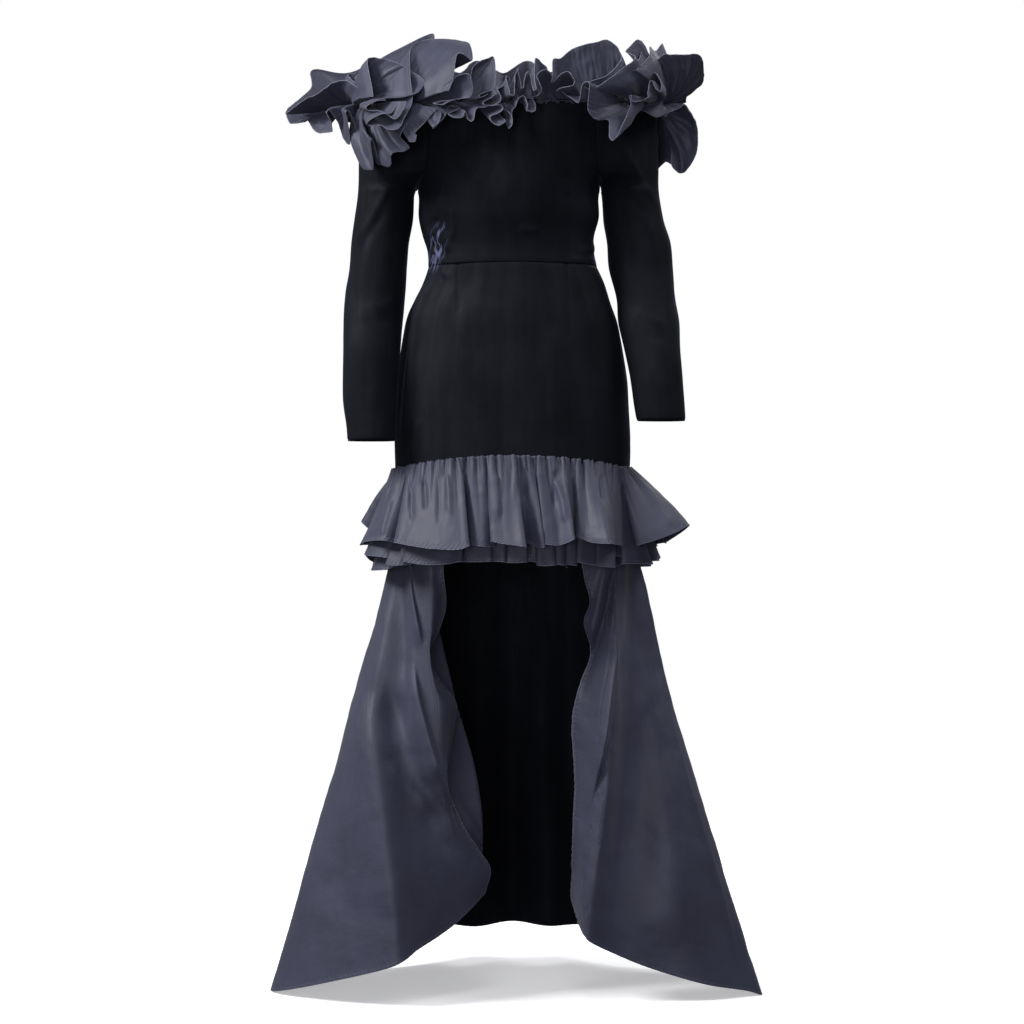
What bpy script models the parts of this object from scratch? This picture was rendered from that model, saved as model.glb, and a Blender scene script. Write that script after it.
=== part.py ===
"""High-low evening dress, hollow, in its worn form: velvet body and sleeves, taffeta ruffles and train.

Metres, +Z up. The front faces -Y and +X is the viewer's right, which "right" means in every name.
The origin lies on the body's axis, near the height where the bodice is held.
Angles go round the body in degrees: 0 at the front, 90 at the right side, 180 at the back, -90 at the left.
"""

import bisect
import math
from collections import namedtuple

import bmesh
import bpy
from mathutils import Vector

# Cloth
velvet_wall = 0.0020
taffeta_wall = 0.0012
seam_gap = 0.0003
ply_gap = 0.0008
tier_gap = 0.0005
sharp_edge_angle = 60

# Colours and roughness of the two cloths
velvet_colour = (0.012, 0.013, 0.018)
velvet_roughness = 0.75
taffeta_colour = (0.085, 0.088, 0.130)
taffeta_roughness = 0.38

# Steps across the panels, and rows down them
whole_body_steps = 20
half_body_steps = 10
bodice_rows = 5
skirt_rows = 7
sleeve_steps = 8
sleeve_rows = 8
sleeve_cap_rows = 4
train_rows = 9
left_wing_steps = 22
back_panel_steps = 18
right_wing_steps = 26

# Half the gap at a seam, in the units that run across each kind of panel
bodice_seam_share = 0.0012
body_seam_angle = 0.08
sleeve_seam_share = 0.001
train_seam_folds = 0.004
strip_seam_angle = 0.16

# Half the step, as a share of a sheet, over which its slope is taken
slope_step = 0.0005

# Levels of the seams
neck_rise = 0.023
neck_tilt = 0.013
underarm_z = -0.118
waist_z = -0.2390
hip_front_z = -0.548
hip_side_drop = 0.020

# Armholes and sleeves
chest_width = 0.270
armhole_edge_gap = 0.0010
armhole_radius = 0.2
armhole_corner_share = 1 / 6
underarm_ease = 0.005
underarm_ease_power = 4
cuff_z = {-1: -0.518, 1: -0.486}

# Hip tiers, at the lowest point of the top tier's hem
tier_hem_z = -0.685
valley_out_front = 0.024
valley_out_side = 0.037
side_angle = 62
tier_bulge = 0.85
flip_bulge = 14
lower_flip_share = 0.3

# The train's panels, from the hip seam down
train_inset = 0.0046
train_top_lap = 0.004
train_thigh_z = -0.630
train_knee_z = -0.727
train_mid_z = -0.970
train_thigh_share = 0.26

# Rings of bodice and skirt: height, middle of the width, half width, depth to the front and to the back
Ring = namedtuple("Ring", "z middle half front back")
body_rings = (
    Ring(-0.580, 0.0005, 0.1860, 0.112, 0.122),
    Ring(-0.520, 0.0010, 0.1880, 0.113, 0.127),
    Ring(-0.470, 0.0000, 0.1870, 0.115, 0.131),
    Ring(-0.420, -0.0005, 0.1830, 0.115, 0.131),
    Ring(-0.355, -0.0015, 0.1728, 0.112, 0.124),
    Ring(-0.317, -0.0015, 0.1650, 0.108, 0.114),
    Ring(-0.291, 0.0000, 0.1550, 0.104, 0.105),
    Ring(-0.266, 0.0025, 0.1447, 0.100, 0.096),
    Ring(-0.240, 0.0010, 0.1350, 0.098, 0.090),
    Ring(-0.214, -0.0020, 0.1325, 0.099, 0.089),
    Ring(-0.189, -0.0055, 0.1367, 0.106, 0.092),
    Ring(-0.160, -0.0050, 0.1435, 0.117, 0.098),
    Ring(-0.118, -0.0055, 0.1450, 0.127, 0.105),
    Ring(-0.080, -0.0055, 0.1700, 0.128, 0.110),
    Ring(-0.030, -0.0055, 0.2080, 0.124, 0.114),
    Ring(0.020, -0.0055, 0.2375, 0.122, 0.116),
    Ring(0.060, -0.0055, 0.2450, 0.122, 0.116),
)

# Sleeves: height, outer and inner distance from the body's axis, how far forward the arm is, half depth
Cuff = namedtuple("Cuff", "z outer inner forward deep")
sleeve_rings = {
    -1: (
        Cuff(-0.530, 0.2590, 0.1850, 0.060, 0.0340),
        Cuff(-0.500, 0.2605, 0.1830, 0.057, 0.0350),
        Cuff(-0.450, 0.2672, 0.1810, 0.050, 0.0400),
        Cuff(-0.390, 0.2676, 0.1780, 0.038, 0.0450),
        Cuff(-0.330, 0.2672, 0.1744, 0.022, 0.0480),
        Cuff(-0.280, 0.2650, 0.1700, 0.010, 0.0490),
        Cuff(-0.240, 0.2592, 0.1680, 0.003, 0.0490),
        Cuff(-0.200, 0.2560, 0.1648, 0.000, 0.0490),
        Cuff(-0.163, 0.2512, 0.1584, 0.000, 0.0500),
        Cuff(-0.118, 0.2455, 0.1560, 0.000, 0.0540),
        Cuff(-0.075, 0.2448, 0.1500, 0.000, 0.0740),
        Cuff(-0.020, 0.2435, 0.1450, 0.000, 0.1010),
        Cuff(0.030, 0.2430, 0.1400, 0.000, 0.1180),
    ),
    1: (
        Cuff(-0.500, 0.2740, 0.2010, 0.056, 0.0330),
        Cuff(-0.459, 0.2720, 0.1930, 0.050, 0.0360),
        Cuff(-0.419, 0.2700, 0.1872, 0.043, 0.0400),
        Cuff(-0.368, 0.2664, 0.1776, 0.033, 0.0440),
        Cuff(-0.330, 0.2656, 0.1696, 0.022, 0.0470),
        Cuff(-0.291, 0.2600, 0.1670, 0.012, 0.0480),
        Cuff(-0.240, 0.2560, 0.1552, 0.003, 0.0490),
        Cuff(-0.200, 0.2528, 0.1528, 0.000, 0.0490),
        Cuff(-0.163, 0.2416, 0.1472, 0.000, 0.0500),
        Cuff(-0.118, 0.2344, 0.1440, 0.000, 0.0540),
        Cuff(-0.075, 0.2336, 0.1400, 0.000, 0.0740),
        Cuff(-0.020, 0.2325, 0.1350, 0.000, 0.1020),
        Cuff(0.030, 0.2320, 0.1300, 0.000, 0.1190),
    ),
}

# Waves of the top hip tier: where each begins, and how far out and how high the hem is at its crest
Wave = namedtuple("Wave", "start out hem_z")
hip_waves = (
    Wave(-180, 0.056, -0.686),
    Wave(-164, 0.060, -0.684),
    Wave(-148, 0.058, -0.688),
    Wave(-133, 0.057, -0.686),
    Wave(-119, 0.080, -0.634),
    Wave(-104, 0.058, -0.684),
    Wave(-90, 0.056, -0.680),
    Wave(-77, 0.058, -0.676),
    Wave(-64, 0.052, -0.680),
    Wave(-53, 0.048, -0.684),
    Wave(-43, 0.046, -0.688),
    Wave(-34, 0.050, -0.686),
    Wave(-22, 0.054, -0.684),
    Wave(-9, 0.055, -0.682),
    Wave(5, 0.050, -0.684),
    Wave(15, 0.052, -0.672),
    Wave(24, 0.050, -0.684),
    Wave(34, 0.054, -0.682),
    Wave(46, 0.058, -0.676),
    Wave(58, 0.064, -0.668),
    Wave(70, 0.097, -0.646),
    Wave(84, 0.066, -0.680),
    Wave(99, 0.058, -0.686),
    Wave(114, 0.060, -0.684),
    Wave(130, 0.057, -0.688),
    Wave(147, 0.060, -0.685),
    Wave(163, 0.056, -0.686),
)

# Hip tiers: share of the top tier's flare and the most of it, hem below it, and the top edge's place
Tier = namedtuple("Tier", "name share most drop inset top steps rows")
hip_tiers = (
    Tier("top", 1.00, 0.100, 0.000, velvet_wall / 2 + taffeta_wall / 2 + tier_gap, 0.006, 4, 3),
    Tier("middle", 0.92, 0.062, 0.028, 0.0, -ply_gap, 4, 3),
    Tier("under", 0.71, 0.047, 0.042, -taffeta_wall - ply_gap, -ply_gap, 2, 2),
)

# Folds of the train, from the left wing's front edge round the back: the angle at the hip seam, the share
# of the way to its mid place that the fold has gone at the knee, and its place at mid height and at the hem
Fold = namedtuple("Fold", "number top knee mid_x mid_y hem_x hem_y hem_z")
train_folds = (
    Fold(0, -31, 0.25, -0.074, -0.045, -0.040, -0.030, -1.235),
    Fold(1, -40, 0.25, -0.094, -0.098, -0.068, -0.085, -1.260),
    Fold(2, -50, 0.25, -0.130, -0.078, -0.102, -0.060, -1.284),
    Fold(3, -60, 0.25, -0.176, -0.105, -0.175, -0.125, -1.320),
    Fold(4, -74, 0.25, -0.226, -0.062, -0.262, -0.095, -1.366),
    Fold(5, -92, 0.25, -0.269, 0.010, -0.387, 0.010, -1.398),
    Fold(6, -112, 0.25, -0.228, 0.105, -0.318, 0.165, -1.372),
    Fold(7, -130, 0.25, -0.150, 0.165, -0.190, 0.262, -1.350),
    Fold(8, -148, 0.25, -0.098, 0.205, -0.125, 0.330, -1.342),
    Fold(9, -164, 0.25, -0.050, 0.190, -0.062, 0.295, -1.339),
    Fold(10, -180, 0.25, 0.000, 0.215, 0.000, 0.345, -1.338),
    Fold(11, -196, 0.25, 0.050, 0.190, 0.062, 0.295, -1.339),
    Fold(12, -212, 0.25, 0.098, 0.205, 0.125, 0.330, -1.342),
    Fold(13, -230, 0.25, 0.150, 0.165, 0.190, 0.262, -1.350),
    Fold(14, -248, 0.28, 0.228, 0.105, 0.330, 0.165, -1.374),
    Fold(15, -268, 0.36, 0.268, 0.008, 0.403, 0.008, -1.400),
    Fold(16, -277, 0.36, 0.247, -0.035, 0.366, -0.035, -1.388),
    Fold(17, -284, 0.33, 0.232, -0.065, 0.318, -0.090, -1.376),
    Fold(18, -291, 0.28, 0.206, -0.062, 0.228, -0.095, -1.350),
    Fold(19, -298, 0.25, 0.178, -0.095, 0.168, -0.120, -1.322),
    Fold(20, -307, 0.25, 0.148, -0.092, 0.116, -0.085, -1.292),
    Fold(21, -324, 0.25, 0.094, -0.045, 0.100, -0.035, -1.282),
)
left_wing_ends = (0, 7)
right_wing_ends = (13, 21)

# The neck ruffle's two free edges, a row for each fold: the place along the gathers, and the fold's point
Edge = namedtuple("Edge", "station x y z")
rising_edge = (
    Edge(-134, -0.128, 0.132, 0.158),
    Edge(-125, -0.272, 0.118, 0.082),
    Edge(-118, -0.322, 0.080, 0.092),
    Edge(-112, -0.346, 0.025, 0.030),
    Edge(-106, -0.318, -0.018, 0.036),
    Edge(-100, -0.292, -0.042, 0.050),
    Edge(-95, -0.262, -0.014, 0.072),
    Edge(-90, -0.234, -0.034, 0.072),
    Edge(-85, -0.215, -0.136, 0.034),
    Edge(-80, -0.225, -0.085, 0.082),
    Edge(-75, -0.178, -0.100, 0.070),
    Edge(-70, -0.154, -0.088, 0.050),
    Edge(-66, -0.160, -0.052, 0.098),
    Edge(-62, -0.140, -0.050, 0.114),
    Edge(-57, -0.066, -0.062, 0.108),
    Edge(-52, -0.125, -0.148, 0.058),
    Edge(-47, -0.088, -0.158, 0.066),
    Edge(-42, -0.095, -0.130, 0.026),
    Edge(-37, -0.086, -0.174, 0.042),
    Edge(-32, -0.068, -0.164, 0.028),
    Edge(-27, -0.066, -0.158, 0.052),
    Edge(-22, -0.048, -0.122, 0.074),
    Edge(-17, -0.027, -0.120, 0.072),
    Edge(-12, -0.022, -0.124, 0.022),
    Edge(-7, -0.015, -0.154, 0.027),
    Edge(-2, -0.003, -0.146, 0.036),
    Edge(3, 0.010, -0.116, 0.056),
    Edge(8, 0.024, -0.118, 0.052),
    Edge(12, 0.030, -0.142, 0.030),
    Edge(17, 0.038, -0.112, 0.075),
    Edge(22, 0.056, -0.126, 0.060),
    Edge(27, 0.066, -0.112, 0.076),
    Edge(33, 0.098, -0.134, 0.092),
    Edge(40, 0.122, -0.124, 0.100),
    Edge(47, 0.146, -0.104, 0.107),
    Edge(53, 0.170, -0.112, 0.088),
    Edge(58, 0.146, -0.170, 0.038),
    Edge(63, 0.176, -0.122, 0.080),
    Edge(69, 0.198, -0.088, 0.110),
    Edge(75, 0.198, -0.058, 0.060),
    Edge(80, 0.219, 0.000, 0.112),
    Edge(85, 0.240, 0.038, 0.124),
    Edge(90, 0.226, -0.038, 0.086),
    Edge(96, 0.254, -0.058, 0.092),
    Edge(103, 0.294, -0.028, 0.098),
    Edge(109, 0.306, 0.004, 0.076),
    Edge(116, 0.290, 0.062, 0.052),
)
falling_edge = (
    Edge(-119, -0.345, 0.095, 0.025),
    Edge(-112, -0.367, 0.055, 0.014),
    Edge(-106, -0.350, 0.015, -0.010),
    Edge(-100, -0.322, 0.022, -0.006),
    Edge(-94, -0.305, -0.032, -0.030),
    Edge(-88, -0.284, -0.008, -0.028),
    Edge(-82, -0.264, -0.062, -0.037),
    Edge(-76, -0.246, -0.042, -0.052),
    Edge(-70, -0.224, -0.096, -0.095),
    Edge(-64, -0.205, -0.092, -0.062),
    Edge(-58, -0.187, -0.138, -0.094),
    Edge(-52, -0.156, -0.122, -0.032),
    Edge(-48, -0.145, -0.160, -0.062),
    Edge(-43, -0.116, -0.162, -0.028),
    Edge(-38, -0.101, -0.130, -0.006),
    Edge(-33, -0.088, -0.164, -0.025),
    Edge(-28, -0.073, -0.136, -0.010),
    Edge(-23, -0.062, -0.172, -0.032),
    Edge(-18, -0.038, -0.140, -0.014),
    Edge(-13, -0.024, -0.172, -0.038),
    Edge(-9, -0.012, -0.140, -0.014),
    Edge(-4, -0.006, -0.165, -0.041),
    Edge(4, 0.006, -0.165, -0.036),
    Edge(8, 0.008, -0.138, -0.008),
    Edge(12, 0.022, -0.165, -0.015),
    Edge(16, 0.044, -0.138, -0.008),
    Edge(20, 0.058, -0.168, -0.020),
    Edge(24, 0.068, -0.138, -0.010),
    Edge(28, 0.084, -0.170, -0.014),
    Edge(32, 0.092, -0.136, -0.006),
    Edge(37, 0.106, -0.164, -0.018),
    Edge(42, 0.110, -0.140, -0.022),
    Edge(48, 0.130, -0.142, -0.036),
    Edge(53, 0.156, -0.168, -0.060),
    Edge(58, 0.183, -0.132, -0.006),
    Edge(63, 0.212, -0.142, 0.000),
    Edge(69, 0.208, -0.082, -0.008),
    Edge(75, 0.230, -0.092, -0.016),
    Edge(82, 0.264, -0.066, 0.000),
    Edge(90, 0.292, -0.018, -0.016),
    Edge(97, 0.292, 0.008, -0.045),
    Edge(103, 0.285, 0.022, -0.075),
    Edge(109, 0.270, 0.055, -0.078),
    Edge(115, 0.240, 0.076, -0.080),
)

# The same edges across the back, by rule: how far out and up from the gathers at a crest and at a valley
Rise = namedtuple("Rise", "crest_out crest_up valley_out valley_up")
back_rising = Rise(0.055, 0.090, 0.018, 0.062)
back_falling = Rise(0.060, -0.050, 0.022, -0.042)
back_stations = (126, 134, 142, 150, 158, 166, 174, 182, 190, 198, 206, 214)
strip_belly = 0.014
gather_drop = 0.004

# The strip's four lengths: places along the gathers, steps along it, and rows in its rising and falling half
Length = namedtuple("Length", "name first last steps rows_up rows_down")
strip_lengths = (
    Length("neck_ruffle_front", -45, 45, 60, 3, 3),
    Length("neck_ruffle_right", 45, 120, 44, 4, 3),
    Length("neck_ruffle_back", 120, 240, 36, 3, 3),
    Length("neck_ruffle_left", -120, -45, 44, 4, 3),
)


def blended(rows, place):
    """The columns after the first one, smooth through every row, where the first one has this value."""
    count = len(rows)
    low = min(max(bisect.bisect([row[0] for row in rows], place) - 1, 0), count - 2)
    start, end = rows[low], rows[low + 1]
    span = end[0] - start[0]
    step = (place - start[0]) / span

    def slope(number, column):
        before = rows[max(number - 1, 0)]
        after = rows[min(number + 1, count - 1)]
        return (after[column] - before[column]) / (after[0] - before[0]) * span

    values = []
    for column in range(1, len(start)):
        rise = end[column] - start[column]
        leave = slope(low, column)
        arrive = slope(low + 1, column)
        bend = 3 * rise - 2 * leave - arrive
        turn = leave + arrive - 2 * rise
        values.append(start[column] + step * (leave + step * (bend + step * turn)))
    return values


def mix(first, second, share):
    return first + (second - first) * share


def spread(first, last, steps):
    return [mix(first, last, step / steps) for step in range(steps + 1)]


def cloth_normal(place, u, v, step_u, step_v):
    across = place(u + step_u, v) - place(u - step_u, v)
    along = place(u, v + step_v) - place(u, v - step_v)
    return across.cross(along).normalized()


def cloth(name, across, along, place, wall, material):
    """A closed wall on both sides of the sheet place(u, v), with a rim round its four edges."""
    step_u = (across[-1] - across[0]) * slope_step
    step_v = (along[-1] - along[0]) * slope_step
    built = bmesh.new()
    layers = ([], [])
    for v in along:
        for layer in layers:
            layer.append([])
        for u in across:
            middle = place(u, v)
            out = cloth_normal(place, u, v, step_u, step_v) * wall / 2
            layers[0][-1].append(built.verts.new(middle + out))
            layers[1][-1].append(built.verts.new(middle - out))
    for layer in layers:
        for lower, upper in zip(layer, layer[1:]):
            for left in range(len(across) - 1):
                built.faces.new((lower[left], lower[left + 1], upper[left + 1], upper[left]))
    last_u = len(across) - 1
    last_v = len(along) - 1
    rim = [(0, column) for column in range(last_u)]
    rim += [(row, last_u) for row in range(last_v)]
    rim += [(last_v, column) for column in range(last_u, 0, -1)]
    rim += [(row, 0) for row in range(last_v, 0, -1)]
    for here, there in zip(rim, rim[1:] + rim[:1]):
        corners = [layers[0][here[0]][here[1]], layers[0][there[0]][there[1]]]
        corners += [layers[1][there[0]][there[1]], layers[1][here[0]][here[1]]]
        built.faces.new(corners)
    bmesh.ops.recalc_face_normals(built, faces=built.faces)
    mesh = bpy.data.meshes.new(name)
    built.to_mesh(mesh)
    built.free()
    mesh.shade_smooth()
    mesh.set_sharp_from_angle(angle=math.radians(sharp_edge_angle))
    mesh.materials.append(material)
    piece = bpy.data.objects.new(name, mesh)
    bpy.context.collection.objects.link(piece)
    return piece


def fabric(name, colour, roughness):
    material = bpy.data.materials.new(name)
    material.use_nodes = True
    shader = material.node_tree.nodes["Principled BSDF"]
    shader.inputs["Base Color"].default_value = (*colour, 1)
    shader.inputs["Roughness"].default_value = roughness
    shader.inputs["Metallic"].default_value = 0
    return material


def neck_z(angle):
    return neck_rise - neck_tilt * math.cos(math.radians(angle))


def hip_z(angle):
    return hip_front_z - hip_side_drop * math.sin(math.radians(angle)) ** 2


def body_point(angle, z, out=0.0):
    """A point of the body's ring at this height, moved outwards in the level plane."""
    middle, half, front, back = blended(body_rings, z)
    turn = math.radians(angle)
    depth = front if math.cos(turn) > 0 else back
    x = middle + half * math.sin(turn)
    y = -depth * math.cos(turn)
    slant = Vector((math.sin(turn) * depth, -math.cos(turn) * half, 0)).normalized()
    return Vector((x, y, z)) + slant * out


def height(angle, level):
    """Level -1 is the waist seam, 0 the underarm and 1 the neckline."""
    if level < 0:
        return underarm_z + level * (underarm_z - waist_z)
    return mix(underarm_z, neck_z(angle), level)


def armhole_angle(side, face, level):
    """The angle of the front (face -1) or back (face 1) armhole edge on the body's ring."""
    middle, half = blended(body_rings, mix(underarm_z, neck_rise, level))[:2]
    corner = min(1, max(0, level) / armhole_corner_share)
    edge_x = mix(half, chest_width / 2 - side * middle, corner)
    turn = math.degrees(math.asin(min(1, edge_x / half)))
    return side * (turn if face < 0 else 180 - turn)


def bodice(name, first, last, face, steps, velvet):
    """Bodice panel between two shares of the way from the left side (-1) to the right side (1)."""

    def place(share, level):
        side = -1 if share < 0 else 1
        edge = side * armhole_angle(side, -1, max(0, level))
        angle = share * edge if face < 0 else 180 - share * edge
        return body_point(angle, height(angle, level))

    along = spread(-1, 0, bodice_rows) + spread(0, 1, bodice_rows)[1:]
    return cloth(name, spread(first, last, steps), along, place, velvet_wall, velvet)


def skirt(name, first, last, steps, velvet):
    def place(angle, drop):
        return body_point(angle, mix(waist_z - seam_gap, hip_z(angle), drop))

    return cloth(name, spread(first, last, steps), spread(0, 1, skirt_rows), place, velvet_wall, velvet)


def sleeve_half(name, side, face, velvet):
    """Front or back half of a sleeve. Turn runs from the armhole or inner seam to the outermost line."""

    def place(turn, level):
        if level < 0:
            z = underarm_z + level * (underarm_z - cuff_z[side])
            edge_y = 0.0
            outer, inner, forward, deep = blended(sleeve_rings[side], z)
            middle = (outer + inner) / 2
        else:
            edge_angle = armhole_angle(side, face, level)
            edge_angle -= face * side * math.degrees(armhole_edge_gap / armhole_radius)
            z = height(mix(edge_angle, side * 90, turn), level)
            edge = body_point(edge_angle, height(edge_angle, level))
            ease = underarm_ease * (1 - level) ** underarm_ease_power
            outer, inner, forward, deep = blended(sleeve_rings[side], z)
            edge_y = abs(edge.y)
            inner = side * edge.x + ease
            ring_middle = side * blended(body_rings, z)[0]
            middle = mix((outer + inner) / 2, ring_middle, level)
        wide = outer - middle
        last = math.acos(max(-1, (inner - middle) / wide))
        here = last * (1 - turn)
        x = middle + wide * math.cos(here)
        y = deep * math.sin(here) + (edge_y - deep * math.sin(last)) * (here / last) ** 2
        return Vector((side * x, face * y - forward, z))

    along = spread(-1, 0, sleeve_rows) + spread(0, 1, sleeve_cap_rows)[1:]
    across = spread(sleeve_seam_share, 1 - sleeve_seam_share, sleeve_steps)
    return cloth(name, across, along, place, velvet_wall, velvet)


def hem_rows():
    """The top tier's hem round the body: angle, distance out and height, at every valley and crest."""
    rows = []
    for number, wave in enumerate(hip_waves):
        following = hip_waves[(number + 1) % len(hip_waves)].start
        end = following if following > wave.start else following + 360
        valley = valley_out_side if abs(wave.start) > side_angle else valley_out_front
        rows.append((wave.start, valley, tier_hem_z))
        rows.append(((wave.start + end) / 2, wave.out, wave.hem_z))
    before = [(angle - 360, out, z) for angle, out, z in rows]
    after = [(angle + 360, out, z) for angle, out, z in rows]
    return before + rows + after


def hip_tier(name, tier, first, last, hem, taffeta):
    def place(angle, drop):
        top = body_point(angle, hip_z(angle) + tier.top, tier.inset)
        out, hem_z = blended(hem, angle)
        lift = (hem_z - tier_hem_z) * (1 if tier.share == 1 else lower_flip_share)
        low_z = tier_hem_z - tier.drop + lift
        flare = min(out * tier.share, tier.most)
        bulge = mix(tier_bulge + lift * flip_bulge, 1, drop)
        point = body_point(angle, top.z, tier.inset + flare * drop * bulge)
        point.z = mix(top.z, low_z, drop)
        return point

    stops = [angle for angle, _, _ in hem if first < angle < last]
    stops = [first] + stops + [last]
    across = []
    for here, there in zip(stops, stops[1:]):
        across += spread(here, there, tier.steps // 2)[:-1]
    across.append(last)
    return cloth(name, across, spread(0, 1, tier.rows), place, taffeta_wall, taffeta)


def train_point(number, drop):
    top, knee_share, mid_x, mid_y, hem_x, hem_y, hem_z = blended(train_folds, number)
    seam = body_point(top, hip_z(top), -train_inset)
    thigh = mix(seam, Vector((mid_x, mid_y, 0)), knee_share * train_thigh_share)
    knee = mix(seam, Vector((mid_x, mid_y, 0)), knee_share)
    rows = (
        (0.0, seam.x, seam.y, seam.z + train_top_lap),
        (0.1, thigh.x, thigh.y, train_thigh_z),
        (0.2, knee.x, knee.y, train_knee_z),
        (0.5, mid_x, mid_y, train_mid_z),
        (1.0, hem_x, hem_y, hem_z),
    )
    return Vector(blended(rows, drop))


def train_panel(name, ends, steps, wall, material):
    across = spread(ends[0] + train_seam_folds, ends[1] - train_seam_folds, steps)
    return cloth(name, across, spread(0, 1, train_rows), train_point, wall, material)


def gather_point(station):
    """A point of the gathered seam, which lies on the outside of the neckline's edge."""
    point = body_point(station, neck_z(station), (velvet_wall + taffeta_wall) / 2 + ply_gap)
    point.z -= gather_drop
    return point


def outward(station):
    turn = math.radians(station)
    return Vector((math.sin(turn), -math.cos(turn), 0))


def edge_rows(edge, back):
    """A free edge all the way round, with the folds across the back added by rule."""
    rows = [tuple(row) for row in edge]
    for number, station in enumerate(back_stations):
        crest = number % 2 == 0
        out = back.crest_out if crest else back.valley_out
        up = back.crest_up if crest else back.valley_up
        point = gather_point(station) + outward(station) * out + Vector((0, 0, up))
        rows.append((station, *point))
    before = [(row[0] - 360, *row[1:]) for row in rows]
    after = [(row[0] + 360, *row[1:]) for row in rows]
    return sorted(before + rows + after)


def neck_strip(length, rising, falling, taffeta):
    """A length of the strip: reach -1 is its falling edge, 0 the gathers and 1 its rising edge."""

    def place(station, reach):
        seam = gather_point(station)
        tip = Vector(blended(rising if reach > 0 else falling, station))
        share = abs(reach)
        belly = outward(station) * strip_belly * 4 * share * (1 - share)
        return mix(seam, tip, share) + belly

    across = spread(length.first + strip_seam_angle, length.last - strip_seam_angle, length.steps)
    along = spread(-1, 0, length.rows_down) + spread(0, 1, length.rows_up)[1:]
    return cloth(length.name, across, along, place, taffeta_wall, taffeta)


def main():
    for existing in list(bpy.data.objects):
        bpy.data.objects.remove(existing)
    velvet = fabric("velvet", velvet_colour, velvet_roughness)
    taffeta = fabric("taffeta", taffeta_colour, taffeta_roughness)

    bodice("bodice_front", -1 + bodice_seam_share, 1 - bodice_seam_share, -1, whole_body_steps, velvet)
    bodice("bodice_back_right", bodice_seam_share, 1 - bodice_seam_share, 1, half_body_steps, velvet)
    bodice("bodice_back_left", -1 + bodice_seam_share, -bodice_seam_share, 1, half_body_steps, velvet)

    skirt("skirt_front", -90 + body_seam_angle, 90 - body_seam_angle, whole_body_steps, velvet)
    skirt("skirt_back_right", 90 + body_seam_angle, 180 - body_seam_angle, half_body_steps, velvet)
    skirt("skirt_back_left", -180 + body_seam_angle, -90 - body_seam_angle, half_body_steps, velvet)

    for side, side_name in ((-1, "left"), (1, "right")):
        for face, face_name in ((-1, "front"), (1, "back")):
            sleeve_half(f"sleeve_{side_name}_{face_name}", side, face, velvet)

    hem = hem_rows()
    for tier in hip_tiers:
        hip_tier(f"hip_{tier.name}_front", tier, -90 + body_seam_angle, 90 - body_seam_angle, hem, taffeta)
        hip_tier(f"hip_{tier.name}_back", tier, 90 + body_seam_angle, 270 - body_seam_angle, hem, taffeta)

    train_panel("train_wing_left", left_wing_ends, left_wing_steps, taffeta_wall, taffeta)
    train_panel("train_back", (left_wing_ends[1], right_wing_ends[0]), back_panel_steps, velvet_wall, velvet)
    train_panel("train_wing_right", right_wing_ends, right_wing_steps, taffeta_wall, taffeta)

    rising = edge_rows(rising_edge, back_rising)
    falling = edge_rows(falling_edge, back_falling)
    for length in strip_lengths:
        neck_strip(length, rising, falling, taffeta)


main()
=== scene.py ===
import math

import bmesh
import bpy
import numpy as np
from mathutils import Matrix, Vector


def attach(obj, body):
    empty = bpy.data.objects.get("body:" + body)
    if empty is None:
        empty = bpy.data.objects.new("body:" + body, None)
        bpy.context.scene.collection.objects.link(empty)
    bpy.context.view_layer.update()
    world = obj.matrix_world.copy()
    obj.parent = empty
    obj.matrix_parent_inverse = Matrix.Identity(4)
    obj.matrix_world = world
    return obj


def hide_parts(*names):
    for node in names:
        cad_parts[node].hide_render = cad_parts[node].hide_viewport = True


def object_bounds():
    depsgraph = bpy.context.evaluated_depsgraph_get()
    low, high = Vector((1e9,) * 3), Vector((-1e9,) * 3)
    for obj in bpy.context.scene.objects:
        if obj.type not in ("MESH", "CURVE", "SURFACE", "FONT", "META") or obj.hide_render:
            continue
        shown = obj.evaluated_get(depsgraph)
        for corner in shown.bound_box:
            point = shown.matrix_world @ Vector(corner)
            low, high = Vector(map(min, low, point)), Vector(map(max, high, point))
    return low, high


# High-low evening dress in its worn form. Metres, +Z up, front to -Y, right is the viewer's right.
# Angles go round the body in degrees: 0 front, 90 right, 180 back, -90 left.
# The rows of a sheet of points run from its "start" to its "end", and its columns from "left" to "right".

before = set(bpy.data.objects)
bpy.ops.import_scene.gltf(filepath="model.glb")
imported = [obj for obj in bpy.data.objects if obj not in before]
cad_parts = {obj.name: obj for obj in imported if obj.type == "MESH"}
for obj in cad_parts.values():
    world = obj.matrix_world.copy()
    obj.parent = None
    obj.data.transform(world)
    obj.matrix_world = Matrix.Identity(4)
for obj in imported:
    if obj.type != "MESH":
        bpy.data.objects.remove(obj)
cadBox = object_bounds()
print("frame:", len(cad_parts), "nodes")


photo = {
    "pixel": 0.0016,  # a pixel's size on the dress's middle plane
    "middle": 512,
    "distance": 4.2,
    "eyeZ": -0.630,
}


def mix(first, second, share):
    return first + (second - first) * share


def ease(value):  # 0 to 1, flat at both ends
    value = np.clip(value, 0, 1)
    return value * value * (3 - 2 * value)


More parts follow.
